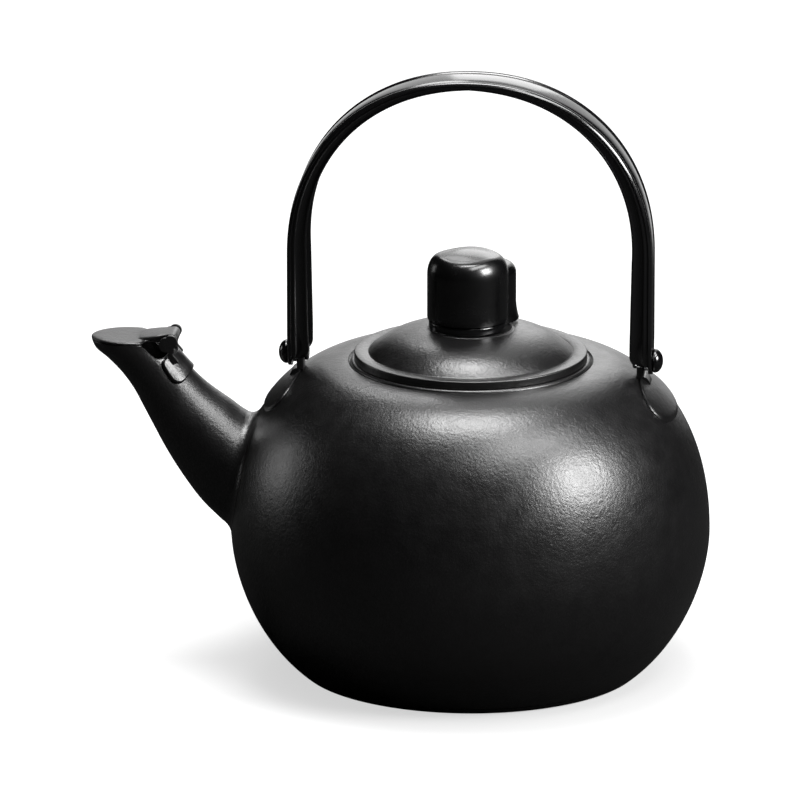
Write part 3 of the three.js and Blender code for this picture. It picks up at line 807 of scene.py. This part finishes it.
def lid_shell():
    edge = size_of("lid_shell")[0][2]
    steps = 48
    outside_from = SEAT_RING_RADIUS + 2 * SEAT_RING_HALF_WIDTH
    seat = []
    for k in range(9):
        radius = SEAT_RING_RADIUS + SEAT_RING_HALF_WIDTH * (k / 4 - 1)
        bulge = math.cos(math.pi / 2 * (k / 4 - 1))
        seat.append((radius, dome_height(radius) + SEAT_RING_HEIGHT * bulge))
    top = [(SCREW_HOLE_RADIUS, dome_height(SCREW_HOLE_RADIUS)),
           (SEAT_RING_RADIUS - 3 * SEAT_RING_HALF_WIDTH, dome_height(SEAT_RING_RADIUS))] + seat
    span = FLANGE_INNER_RADIUS - outside_from
    dome = [(outside_from + span * math.sin(math.pi / 2 * k / steps),
             dome_height(outside_from + span * math.sin(math.pi / 2 * k / steps)))
            for k in range(steps + 1)]
    crease = [(FLANGE_INNER_RADIUS + out, FLANGE_HEIGHT - drop) for out, drop in FLANGE_CREASE]
    flange = arc(FLANGE_RADIUS - FLANGE_EDGE_ROUND, FLANGE_HEIGHT - FLANGE_EDGE_ROUND,
                 FLANGE_EDGE_ROUND, FLANGE_EDGE_ROUND, 90, 0, 5)
    under = [(FLANGE_RADIUS, edge), (FLANGE_RADIUS - LID_SHEET, edge),
             (FLANGE_RADIUS - LID_SHEET, FLANGE_HEIGHT - LID_SHEET),
             (FLANGE_INNER_RADIUS - LID_SHEET, FLANGE_HEIGHT - LID_SHEET)]
    inner_span = FLANGE_INNER_RADIUS - LID_SHEET - SCREW_HOLE_RADIUS
    inside = [(SCREW_HOLE_RADIUS + inner_span * (1 - k / steps),
               dome_height(SCREW_HOLE_RADIUS + inner_span * (1 - k / steps) + LID_SHEET) - LID_SHEET)
              for k in range(1, steps + 1)]
    lid = lathe("lid_pressing", top + dome + crease + flange + under + inside, BODY_STEPS, closed=True)
    dress(lid, "lid_shell", "lid", "pebbled_coating", 35.0)


def lid_skirt():
    low, high = size_of("lid_skirt")
    outer = high[0] - SKIRT_TAB_WIDTH
    inner = outer - LID_SHEET
    seat = high[2] - LID_SHEET
    corners = [(inner, low[2]), (outer, low[2]), (outer, seat), (high[0], seat), (high[0], high[2])]
    outline = rounded([(x, y, SKIRT_ROUND) for x, y in corners] + [(inner, high[2], 0)])
    skirt = lathe("centring_skirt", outline, BODY_STEPS, closed=True)
    dress(skirt, "lid_skirt", "lid", "bare_steel")


def knob():
    low, high = size_of("knob")
    bottom = size_of("knob_collar")[1][2] + SEAM
    top = high[2]
    lobe_top = top - LOBE_DROP
    outline = [(0, bottom)] + [(KNOB_RADIUS - inset, bottom + rise) for inset, rise in KNOB_FOOT_EDGE]
    outline += [(KNOB_RADIUS, bottom + KNOB_SIDE_START + k * KNOB_SIDE_STEP) for k in range(8)]
    shoulder = top - KNOB_CROWN
    outline += arc(KNOB_RADIUS - KNOB_CORNER, shoulder - KNOB_CORNER_HEIGHT, KNOB_CORNER,
                   KNOB_CORNER_HEIGHT, 0, 90, 14)
    crown_radius = KNOB_RADIUS - KNOB_CORNER
    outline += [(crown_radius * (1 - k / 8), shoulder + KNOB_CROWN * (1 - (1 - k / 8) ** 2))
                for k in range(1, 9)]
    main = lathe("knob_moulding", outline, KNOB_STEPS)
    for vertex in main.data.vertices:
        radius = math.hypot(vertex.co.x, vertex.co.y) / MM
        edge = max(1 - abs(radius - crown_radius) / KNOB_CORNER, 0.0)
        if vertex.co.z > (shoulder - KNOB_CORNER_HEIGHT) * MM:
            turn = math.atan2(vertex.co.y, vertex.co.x)
            wave = 1 + math.sin(KNOB_WAVE_COUNT * turn + KNOB_WAVE_TURN)
            vertex.co.z -= KNOB_WAVE * edge * wave * MM
    shifted(main, -KNOB_SHIFT, 0)
    foot = low[2]
    turn = math.radians(LOBE_TURN)
    side = [(0, foot), (LOBE_RADIUS + LOBE_FLARE, foot)]
    side += [(LOBE_RADIUS + LOBE_FLARE * (1 - k / 6) ** 2, foot + LOBE_FLARE_HEIGHT * k / 6)
             for k in range(1, 7)]
    side += arc(LOBE_RADIUS - LOBE_CORNER, lobe_top - LOBE_CORNER, LOBE_CORNER, LOBE_CORNER, 0, 90, 10)
    side += [(0, lobe_top)]
    lobe = lathe("lobe", side, KNOB_STEPS)
    shifted(lobe, LOBE_OFFSET * math.sin(turn), LOBE_OFFSET * math.cos(turn))
    collar_room = circle(-KNOB_SHIFT, 0, COLLAR_RADIUS + SEAM, KNOB_STEPS)
    combined(lobe, prism("room", collar_room, foot - 5, bottom, along_z), "DIFFERENCE")
    combined(main, lobe, "UNION")
    dress(main, "knob", "lid", "knob_plastic", 35.0)


def knob_collar():
    low, high = size_of("knob_collar")
    inner = SCREW_HOLE_RADIUS + COLLAR_HOLE_ROOM * KNOB_SHIFT
    outline = rounded([
        (inner, low[2], 0), (COLLAR_RADIUS, low[2], COLLAR_FOOT_ROUND),
        (COLLAR_RADIUS, high[2], COLLAR_TOP_ROUND), (inner, high[2], 0)])
    ferrule = lathe("knob_ferrule", outline, KNOB_STEPS, closed=True)
    shifted(ferrule, -KNOB_SHIFT, 0)
    dress(ferrule, "knob_collar", "lid", "gloss_coating")


# Bail

def arch_depth(angle):
    return BAIL_TOP_DEPTH + (BAIL_SPRING_DEPTH - BAIL_TOP_DEPTH) * (1 - angle / 90)


def arch_reach(angle):
    """Radius of the slightly squared arch at an angle from its spring line, in degrees."""
    turn = math.radians(angle)
    squared = math.cos(turn) ** ARCH_POWER + math.sin(turn) ** ARCH_POWER
    return ARCH_RADIUS * squared ** (-1 / ARCH_POWER)


def bail_section(half, depth):
    """Half of the channel's section as (across, inward) points, from the middle of the outer face."""
    share = half / BAIL_HALF_WIDTH
    groove = BAIL_GROOVE_DEPTH * min(1.0, share ** 2)
    outer = [(u * share, w * groove) for u, w in BAIL_FACE]
    outer += [(u * share, w) for u, w in BAIL_FACE_EDGE] + [(half, BAIL_CORNER)]
    lip = max(depth, BAIL_WEB)
    deep = BAIL_FLANGE_GROOVE * max(lip - BAIL_PLAIN_DEPTH, 0) / (BAIL_SPRING_DEPTH - BAIL_PLAIN_DEPTH)
    side = [(half - deep * inset, BAIL_CORNER + (lip - BAIL_CORNER) * w) for w, inset in BAIL_SIDE]
    flange = min(BAIL_FLANGE, half * BAIL_FLANGE_SHARE)
    round_lip = flange / 2
    fall = min(BAIL_LIP_FALL * round_lip, (lip - BAIL_CORNER) * BAIL_LIP_SHARE)
    end = [(half - round_lip * (1 - math.cos(turn)), lip - fall * (1 - math.sin(turn)))
           for turn in BAIL_LIP_TURNS]
    inside = half - flange
    inner = [(inside, max(lip - BAIL_LIP_REACH, BAIL_WEB)),
             (inside, min(BAIL_WEB + BAIL_FILLET_RISE, lip)),
             (inside - BAIL_FILLET_WIDTH, BAIL_WEB), (0, BAIL_WEB)]
    return outer + side + end + inner


def whole_section(half, depth):
    section = bail_section(half, depth)
    return section + [(-u, w) for u, w in section[-2:0:-1]]


def bail_half_width(height):
    if height >= PIVOT_HEIGHT + TAPER_RISE:
        share = min(max((height - ARCH_HEIGHT) / ARCH_RADIUS, 0.0), 1.0)
        return BAIL_HALF_WIDTH + (BAIL_TOP_HALF_WIDTH - BAIL_HALF_WIDTH) * share
    if height >= PIVOT_HEIGHT:
        share = (height - PIVOT_HEIGHT) / TAPER_RISE
        return TAPER_FOOT_HALF_WIDTH + (BAIL_HALF_WIDTH - TAPER_FOOT_HALF_WIDTH) * share
    drop = (PIVOT_HEIGHT - height) / WEB_END_DROP
    return TAPER_FOOT_HALF_WIDTH * math.sqrt(max(1 - drop * drop, BAIL_LEAST_SHARE))


def leg_depth(height):
    end = PIVOT_HEIGHT - FLANGE_END_DROP
    corner = PIVOT_HEIGHT + FLANGE_CORNER_RISE
    share = (ARCH_HEIGHT - height) / (ARCH_HEIGHT - PIVOT_HEIGHT)
    full = BAIL_SPRING_DEPTH + (BAIL_FOOT_DEPTH - BAIL_SPRING_DEPTH) * min(share, 1)
    if height >= corner:
        return full
    if height >= end:
        rise = (height - end) / (corner - end)
        return full - FLANGE_CORNER_WIDTH * (1 - math.sqrt(max(1 - (1 - rise) ** 2, 0)))
    return BAIL_WEB


def bail_rings():
    """Rings of the bail's right half, from its foot to the top."""
    rings = []
    end = PIVOT_HEIGHT - FLANGE_END_DROP
    low = PIVOT_HEIGHT - WEB_END_DROP
    heights = [low + (end - low) * (1 - math.cos(math.pi / 2 * k / 10)) for k in range(10)]
    heights += [end + rise for rise in BAIL_END_RISES]
    heights += [PIVOT_HEIGHT + rise for rise in (FLANGE_CORNER_RISE, BAIL_TAPER_MIDDLE, TAPER_RISE)]
    heights += [PIVOT_HEIGHT + TAPER_RISE + (ARCH_HEIGHT - PIVOT_HEIGHT - TAPER_RISE) * k / 12
                for k in range(1, 12)]
    for height in heights:
        section = whole_section(bail_half_width(height), leg_depth(height))
        rings.append([(ARCH_RADIUS - w, u, height) for u, w in section])
    for k in range(BAIL_ARCH_STEPS + 1):
        angle = 90 * k / BAIL_ARCH_STEPS
        reach = arch_reach(angle)
        out, up = math.cos(math.radians(angle)), math.sin(math.radians(angle))
        section = whole_section(bail_half_width(ARCH_HEIGHT + reach * up), arch_depth(angle))
        rings.append([((reach - w) * out, u, ARCH_HEIGHT + (reach - w) * up) for u, w in section])
    return rings


def bail_handle():
    rings = bail_rings()
    left = [[(-x, y, z) for x, y, z in ring] for ring in rings[:-1]]
    piece = skin("bail_arch", left + rings[::-1])
    dress(piece, "bail_handle", "bail", "gloss_coating", 60.0)


# Ears, rivets and washers

def mirrored(piece, side):
    if side < 0:
        for vertex in piece.data.vertices:
            vertex.co.x = -vertex.co.x
        piece.data.flip_normals()
    return piece


def foot_ring(share, grow, rise):
    """A ring of the oval foot at a share of its size, laid on the shoulder."""
    ring = []
    for k in range(FOOT_STEPS):
        x = FOOT_CENTRE_RADIUS + FOOT_HALF_DEPTH * share * math.cos(TAU * k / FOOT_STEPS)
        y = FOOT_HALF_WIDTH * share * math.sin(TAU * k / FOOT_STEPS)
        ring.append((x, y, pot_height(math.hypot(x, y), grow) + rise))
    return ring


def ear_foot():
    thickness = SEAM + FOOT_THICKNESS
    rings = [foot_ring(share, thickness, FOOT_EDGE_DROP * dip) for share, dip in FOOT_PROFILE]
    rings += [foot_ring(share, 0.0, FOOT_LIFT) for share in FOOT_UNDER_SHARES]
    return skin("foot", rings)


def ear(word, side):
    low = PIVOT_HEIGHT - EAR_FOOT_DROP
    centre = PIVOT_HEIGHT + EAR_TOP_RISE - EAR_HALF_WIDTH
    outline = [(-EAR_HALF_WIDTH, low), (EAR_HALF_WIDTH, low)]
    outline += arc(0, centre, EAR_HALF_WIDTH, EAR_HALF_WIDTH, 0, 180, 24)
    tongue = prism(f"{word}_ear", outline, EAR_OUTER_X - EAR_THICKNESS, EAR_OUTER_X, along_x)
    bevelled(tongue, EAR_EDGE)
    back, front = EAR_OUTER_X - EAR_BEND_BACK, EAR_OUTER_X + EAR_BEND
    drop = EAR_BEND_TOP - pot_height(front)
    bend = arc(EAR_OUTER_X, EAR_BEND_TOP - drop, EAR_BEND, drop, 90, 0, 12)
    bend += [(front, pot_height(front) - EAR_BEND_SINK), (back, pot_height(back) - EAR_BEND_SINK),
             (back, EAR_BEND_TOP)]
    combined(tongue, prism("bend", bend, -EAR_HALF_WIDTH, EAR_HALF_WIDTH, along_y), "UNION")
    combined(tongue, ear_foot(), "UNION")
    dress(mirrored(tongue, side), f"ear_{word}", "pot", "pebbled_coating", 35.0)


def rivet(word, side):
    head_x = ARCH_RADIUS + RIVET_HEAD_GAP
    head_top = size_of("pivot_rivet_right")[1][0]
    tail_x = EAR_OUTER_X - EAR_THICKNESS - SEAM
    height = head_top - head_x
    tail_end = tail_x - RIVET_TAIL_HEIGHT
    outline = [(0, tail_end)]
    outline += arc(RIVET_TAIL_RADIUS - RIVET_TAIL_ROUND, tail_end + RIVET_TAIL_ROUND,
                   RIVET_TAIL_ROUND, RIVET_TAIL_ROUND, -90, 0, 6)
    outline += [(RIVET_TAIL_RADIUS, tail_x), (RIVET_SHANK_RADIUS, tail_x), (RIVET_SHANK_RADIUS, head_x)]
    outline += [(RIVET_HEAD_RADIUS - inset, head_x + rise) for inset, rise in RIVET_HEAD_EDGE]
    outline += arc(0, head_x + RIVET_HEAD_RIM, RIVET_HEAD_RADIUS, height - RIVET_HEAD_RIM, 0, 90, 16)
    piece = lathe(f"{word}_rivet", outline, RIVET_STEPS)
    for vertex in piece.data.vertices:
        x, y, z = vertex.co
        vertex.co = (z, x, y + PIVOT_HEIGHT * MM)
    dress(mirrored(piece, side), f"pivot_rivet_{word}", "pot", "gloss_coating", 50.0)


# Hinge of the spout

def domed_rings(outline, centre, place, base, height, edge):
    """Rings from an outline in to its centre, with a top that rounds down over the edge width."""
    def inward(u, v, share, lift):
        return place(centre[0] + (u - centre[0]) * share, centre[1] + (v - centre[1]) * share, lift)

    rings = [[place(u, v, base) for u, v in outline]]
    for k in range(7):
        turn = math.pi / 2 * k / 6
        inset = edge * (1 - math.cos(turn))
        lift = base + (height - base) * (DOME_RIM_SHARE + (1 - DOME_RIM_SHARE) * math.sin(turn))
        ring = []
        for u, v in outline:
            reach = math.hypot(u - centre[0], v - centre[1])
            ring.append(inward(u, v, max(1 - inset / reach, 0.01), lift))
        rings.append(ring)
    for share in (0.6, 0.3, 0.02):
        rings.append([inward(u, v, share, height) for u, v in outline])
    return rings


def hinge_pin():
    half = LUG_INNER + LUG_THICKNESS - SEAM
    outline = [(0, -half)] + arc(0, -half + PIN_DOME, PIN_RADIUS, PIN_DOME, -PIN_DOME_TURN, 0, 6)
    outline += arc(0, half - PIN_DOME, PIN_RADIUS, PIN_DOME, 0, PIN_DOME_TURN, 6) + [(0, half)]
    piece = lathe("cover_pin", outline, PIN_STEPS)
    for vertex in piece.data.vertices:
        x, y, z = vertex.co
        vertex.co = (x + HINGE_X * MM, z, y + HINGE_Z * MM)
    dress(piece, "spout_hinge_pin", "pot", "bare_steel")


def cover_plate():
    low_x, high_x = SPOUT_STATIONS[-1][0], SPOUT_STATIONS[-1][2]
    half = SPOUT_STATIONS[-1][4]
    centre, reach = (low_x + high_x) / 2, (high_x - low_x) / 2
    tail_x = low_x + COVER_TAIL_START
    turn = math.degrees(math.acos((tail_x - centre) / reach))
    nose = arc(centre, 0, reach, half, turn + COVER_NOSE_GAP, 360 - COVER_NOSE_GAP - turn, 96)
    step = half * math.sin(math.radians(turn)) - COVER_TAIL_HALF_WIDTH
    corner = [(tail_x + COVER_CORNER_START + COVER_CORNER_LENGTH * u,
               COVER_TAIL_HALF_WIDTH + step * (1 - u) ** 2) for u in COVER_CORNER_SHARES]
    back = [(tail_x + COVER_TAIL_LENGTH, y * COVER_TAIL_HALF_WIDTH / 4) for y in range(4, -5, -1)]
    outline = nose + [(x, -y) for x, y in corner] + back[::-1] + corner[::-1]
    bottom = MOUTH_HEIGHT + SEAM
    rings = domed_rings(outline, (centre, 0), along_z, bottom, bottom + COVER_THICKNESS, COVER_EDGE)
    return skin("mouth_flap", rings)


def hood_path():
    """Points of the tail's top face and its outward normals, from the plate over the pin."""
    start_x = SPOUT_STATIONS[-1][0] + COVER_TAIL_START - HOOD_OVERLAP
    low, high = MOUTH_HEIGHT + SEAM + COVER_THICKNESS, HINGE_Z + HOOD_RADIUS
    path = []
    for k in range(15):
        x = start_x + (HINGE_X - start_x) * k / 14
        u = max(1 - (HINGE_X - x) / HOOD_RISE_START, 0.0)
        path.append((x, low + (high - low) * u ** HOOD_RISE_POWER, 90.0))
    for k in range(1, 25):
        angle = 90 + (HOOD_END_ANGLE - 90) * k / 24
        x = HINGE_X + HOOD_RADIUS * math.cos(math.radians(angle))
        z = HINGE_Z + HOOD_RADIUS * math.sin(math.radians(angle))
        path.append((x, z, angle))
    return path


def cover_hood():
    rings = []
    for x, z, angle in hood_path():
        share = 1.0
        if angle == 90.0:
            share = min(max((x - (HINGE_X - HOOD_NARROW_START)) / HOOD_NARROW_LENGTH, 0.0), 1.0)
        narrowing = (HOOD_HALF_WIDTH - COVER_TAIL_HALF_WIDTH) * share ** 2 * (3 - 2 * share)
        half = COVER_TAIL_HALF_WIDTH + narrowing
        out_x, out_z = math.cos(math.radians(angle)), math.sin(math.radians(angle))
        wall = TAIL_WALL + (HOOD_WALL - TAIL_WALL) * share
        edge = wall / 2
        section = arc(half - edge, -edge, edge, edge, 90, -90, 8)
        section += arc(edge - half, -edge, edge, edge, -90, -270, 8)
        rings.append([(x + out_x * w, y, z + out_z * w) for y, w in section])
    return skin("hood", rings)


def tail_plug():
    """A low block under the tail, which closes the view through the scoop."""
    start, end, bottom = HINGE_X - PLUG_START, HINGE_X - PLUG_END, HINGE_Z - PLUG_DROP
    side = [(start, bottom), (end, bottom), (end, HINGE_Z + PLUG_END_RISE),
            (start, MOUTH_HEIGHT + SEAM + PLUG_START_RISE)]
    return prism("plug", side, -PLUG_HALF_WIDTH, PLUG_HALF_WIDTH, along_y)


def spout_cover():
    plate = cover_plate()
    combined(plate, cover_hood(), "UNION")
    combined(plate, tail_plug(), "UNION")
    dress(plate, "spout_cover", "flap", "pebbled_coating", 35.0)


def bracket_saddle():
    """A rounded strap over the spout, laid out by angle around it and distance along it."""
    top_x = HINGE_X + BRACKET_BACK
    last = len(SPOUT_STATIONS) - 1
    middle = min((k * STATION_STEP for k in range(BRACKET_FIRST_STATION, STATIONS_PER_UNIT * last)),
                 key=lambda t: abs(spout_point(t, 0).x - top_x))
    span = spout_point(middle + STATION_SPAN, 0) - spout_point(middle, 0)
    per_mm = STATION_SPAN / span.length
    wrap, corner = BRACKET_WRAP * BRACKET_MM_PER_RADIAN, BRACKET_CORNER
    edge = rounded([(-wrap, -BRACKET_HALF_WIDTH, corner), (wrap, -BRACKET_HALF_WIDTH, corner),
                    (wrap, BRACKET_HALF_WIDTH, corner), (-wrap, BRACKET_HALF_WIDTH, corner)], 8)
    outline = []
    for (a, b), (c, d) in zip(edge, edge[1:] + edge[:1]):
        steps = max(int(math.hypot(c - a, d - b) / BRACKET_STEP), 1)
        outline += [(a + (c - a) * k / steps, b + (d - b) * k / steps) for k in range(steps)]

    def place(u, v, lift):
        along = v + BRACKET_SLANT * (abs(u) / wrap) ** 2
        return tuple(spout_point(middle + along * per_mm, u / BRACKET_MM_PER_RADIAN, lift))

    top = SEAM + BRACKET_STRAP
    rings = domed_rings(outline, (0, 0), place, BRACKET_SINK, top, BRACKET_EDGE)
    for share in (0.7, 0.4, 0.02):
        rings.insert(0, [place(u * share, v * share, BRACKET_SINK) for u, v in outline])
    return skin("saddle_bracket", rings)


def lug(side):
    low = side * LUG_INNER
    high = side * (LUG_INNER + LUG_THICKNESS)
    eye = prism("lug", circle(HINGE_X, HINGE_Z, LUG_EYE_RADIUS, 40), low, high, along_y)
    disc = circle(HINGE_X - LUG_DISC_FORWARD, HINGE_Z - LUG_DISC_DROP, LUG_DISC_RADIUS, 56)
    combined(eye, prism("disc", disc, low, high, along_y), "UNION")
    neck = rounded([(HINGE_X + x, HINGE_Z + z, radius) for x, z, radius in LUG_NECK], 4)
    combined(eye, prism("neck", neck, low, high, along_y), "UNION")
    return bevelled(eye, LUG_EDGE)


def spout_bracket():
    saddle = bracket_saddle()
    for side in (-1, 1):
        combined(saddle, lug(side), "UNION")
    dress(saddle, "spout_bracket", "pot", "gloss_coating", 35.0, "pebbled_coating")


def keep_node(node, slot):
    thing = frame["nodes"][node]
    thing.data.materials.clear()
    thing.data.materials.append(MATERIALS[slot])


# Stage

def smooth_step(nodes, links, source, start, end):
    step = nodes.new("ShaderNodeMapRange")
    step.interpolation_type = "SMOOTHSTEP"
    step.inputs["From Min"].default_value = start
    step.inputs["From Max"].default_value = end
    links.new(source, step.inputs["Value"])
    return step.outputs["Result"]


def mirrored_strip(nodes, links, across, behind, path):
    """Level of the strip behind the pot that only its glossy faces see."""
    edge = BACKGROUND_SPREAD + BACKGROUND_SOFTNESS
    inside = smooth_step(nodes, links, across, edge, BACKGROUND_SPREAD)
    strip = math_node(nodes, links, "MULTIPLY", inside, behind)
    return math_node(nodes, links, "MULTIPLY", strip, path.outputs["Is Glossy Ray"])


def floor():
    bpy.ops.mesh.primitive_plane_add(size=FLOOR_SIZE)
    plane = bpy.context.object
    plane.name = "studio_floor"
    plane.location.z = -FLOOR_GAP
    material, nodes, links, shader = new_material("floor")
    shader.inputs["Roughness"].default_value = FLOOR_ROUGHNESS
    shader.inputs["Specular IOR Level"].default_value = 0.0
    shader.inputs["Emission Color"].default_value = (1, 1, 1, 1)
    path = nodes.new("ShaderNodeLightPath")
    # Darker floor colour for glossy rays only: painted shade in the pot's reflections of the floor.
    tone = nodes.new("ShaderNodeMapRange")
    tone.inputs["To Min"].default_value = FLOOR_TONE
    tone.inputs["To Max"].default_value = FLOOR_MIRRORED_TONE
    links.new(path.outputs["Is Glossy Ray"], tone.inputs["Value"])
    links.new(tone.outputs["Result"], shader.inputs["Base Color"])
    place = nodes.new("ShaderNodeNewGeometry")
    reach = nodes.new("ShaderNodeVectorMath")
    reach.operation = "LENGTH"
    links.new(place.outputs["Position"], reach.inputs[0])
    # Camera glow that is dimmer near the pot: painted shade round the foot, and full white farther out
    # that paints the real shadow away.
    glow = nodes.new("ShaderNodeMapRange")
    glow.interpolation_type = "SMOOTHSTEP"
    glow.inputs["From Min"].default_value = FLOOR_GLOW_START
    glow.inputs["From Max"].default_value = FLOOR_GLOW_FULL
    glow.inputs["To Min"].default_value = FLOOR_GLOW_IN_PAINTED_SHADE
    glow.inputs["To Max"].default_value = 1.0
    links.new(reach.outputs["Value"], glow.inputs["Value"])
    camera_ray = path.outputs["Is Camera Ray"]
    seen = math_node(nodes, links, "MULTIPLY", camera_ray, glow.outputs["Result"])
    split = nodes.new("ShaderNodeSeparateXYZ")
    links.new(place.outputs["Position"], split.inputs["Vector"])
    across = math_node(nodes, links, "ABSOLUTE", split.outputs["X"])
    depth = math_node(nodes, links, "MAXIMUM", split.outputs["Y"], FLOOR_STRIP_START)
    across = math_node(nodes, links, "DIVIDE", across, depth)
    behind = smooth_step(nodes, links, split.outputs["Y"], FLOOR_STRIP_START, FLOOR_STRIP_FULL)
    strip = mirrored_strip(nodes, links, across, behind, path)
    level = math_node(nodes, links, "MAXIMUM", seen, strip)
    links.new(level, shader.inputs["Emission Strength"])
    plane.data.materials.append(material)


def world():
    """White to the camera and in the mirrored strip behind the pot, dark elsewhere."""
    sky = bpy.data.worlds.new("studio")
    bpy.context.scene.world = sky
    sky.use_nodes = True
    nodes, links = sky.node_tree.nodes, sky.node_tree.links
    background = nodes["Background"]
    background.inputs["Color"].default_value = (1, 1, 1, 1)
    place = nodes.new("ShaderNodeTexCoord")
    split = nodes.new("ShaderNodeSeparateXYZ")
    links.new(place.outputs["Generated"], split.inputs["Vector"])
    path = nodes.new("ShaderNodeLightPath")
    across = math_node(nodes, links, "ABSOLUTE", split.outputs["X"])
    behind = smooth_step(nodes, links, split.outputs["Y"], 0.0, BACKGROUND_SOFTNESS)
    strip = mirrored_strip(nodes, links, across, behind, path)
    seen = math_node(nodes, links, "MAXIMUM", strip, path.outputs["Is Camera Ray"])
    level = nodes.new("ShaderNodeMapRange")
    level.inputs["To Min"].default_value = ROOM_LEVEL
    level.inputs["To Max"].default_value = 1.0
    links.new(seen, level.inputs["Value"])
    links.new(level.outputs["Result"], background.inputs["Strength"])


def direction(azimuth, elevation):
    """Unit vector from the pot, by degrees round from the front to the right and degrees up."""
    turn, lift = math.radians(azimuth), math.radians(elevation)
    return Vector((math.sin(turn) * math.cos(lift), -math.cos(turn) * math.cos(lift), math.sin(lift)))


def area_light(name, azimuth, elevation, width, height, power):
    """A soft lamp aimed at the pot; azimuth turns from the camera's side of the pot to its right."""
    data = bpy.data.lights.new(name, "AREA")
    data.shape = "RECTANGLE"
    data.size, data.size_y = width, height
    data.energy = power
    lamp = bpy.data.objects.new(name, data)
    bpy.context.collection.objects.link(lamp)
    way = direction(azimuth + CAMERA_AZIMUTH, elevation)
    lamp.location = Vector(LAMP_TARGET) + way * LAMP_DISTANCE
    lamp.rotation_euler = way.to_track_quat("Z", "Y").to_euler()


def lights():
    for name, azimuth, elevation, width, height, power in LAMPS:
        area_light(name, azimuth, elevation, width, height, power)


def camera():
    data = bpy.data.cameras.new("camera")
    data.sensor_width = SENSOR_WIDTH
    data.lens = CAMERA_LENS
    data.clip_end = CAMERA_REACH
    eye = bpy.data.objects.new("camera", data)
    bpy.context.collection.objects.link(eye)
    way = direction(CAMERA_AZIMUTH, CAMERA_ELEVATION)
    eye.location = (Vector(CAMERA_TARGET) + way * CAMERA_DISTANCE) * MM
    eye.rotation_euler = way.to_track_quat("Z", "Y").to_euler()
    bpy.context.scene.camera = eye


bpy.context.scene.view_settings.view_transform = "Standard"
camera()
world()
lights()
floor()
body_shell()
base_plate()
spout()
lid_shell()
lid_skirt()
knob()
knob_collar()
bail_handle()
for word, side in (("left", -1), ("right", 1)):
    ear(word, side)
    rivet(word, side)
    keep_node(f"pivot_washer_{word}", "bare_steel")
hinge_pin()
spout_cover()
spout_bracket()
keep_node("knob_screw", "bare_steel")
keep_node("knob_washer", "bare_steel")
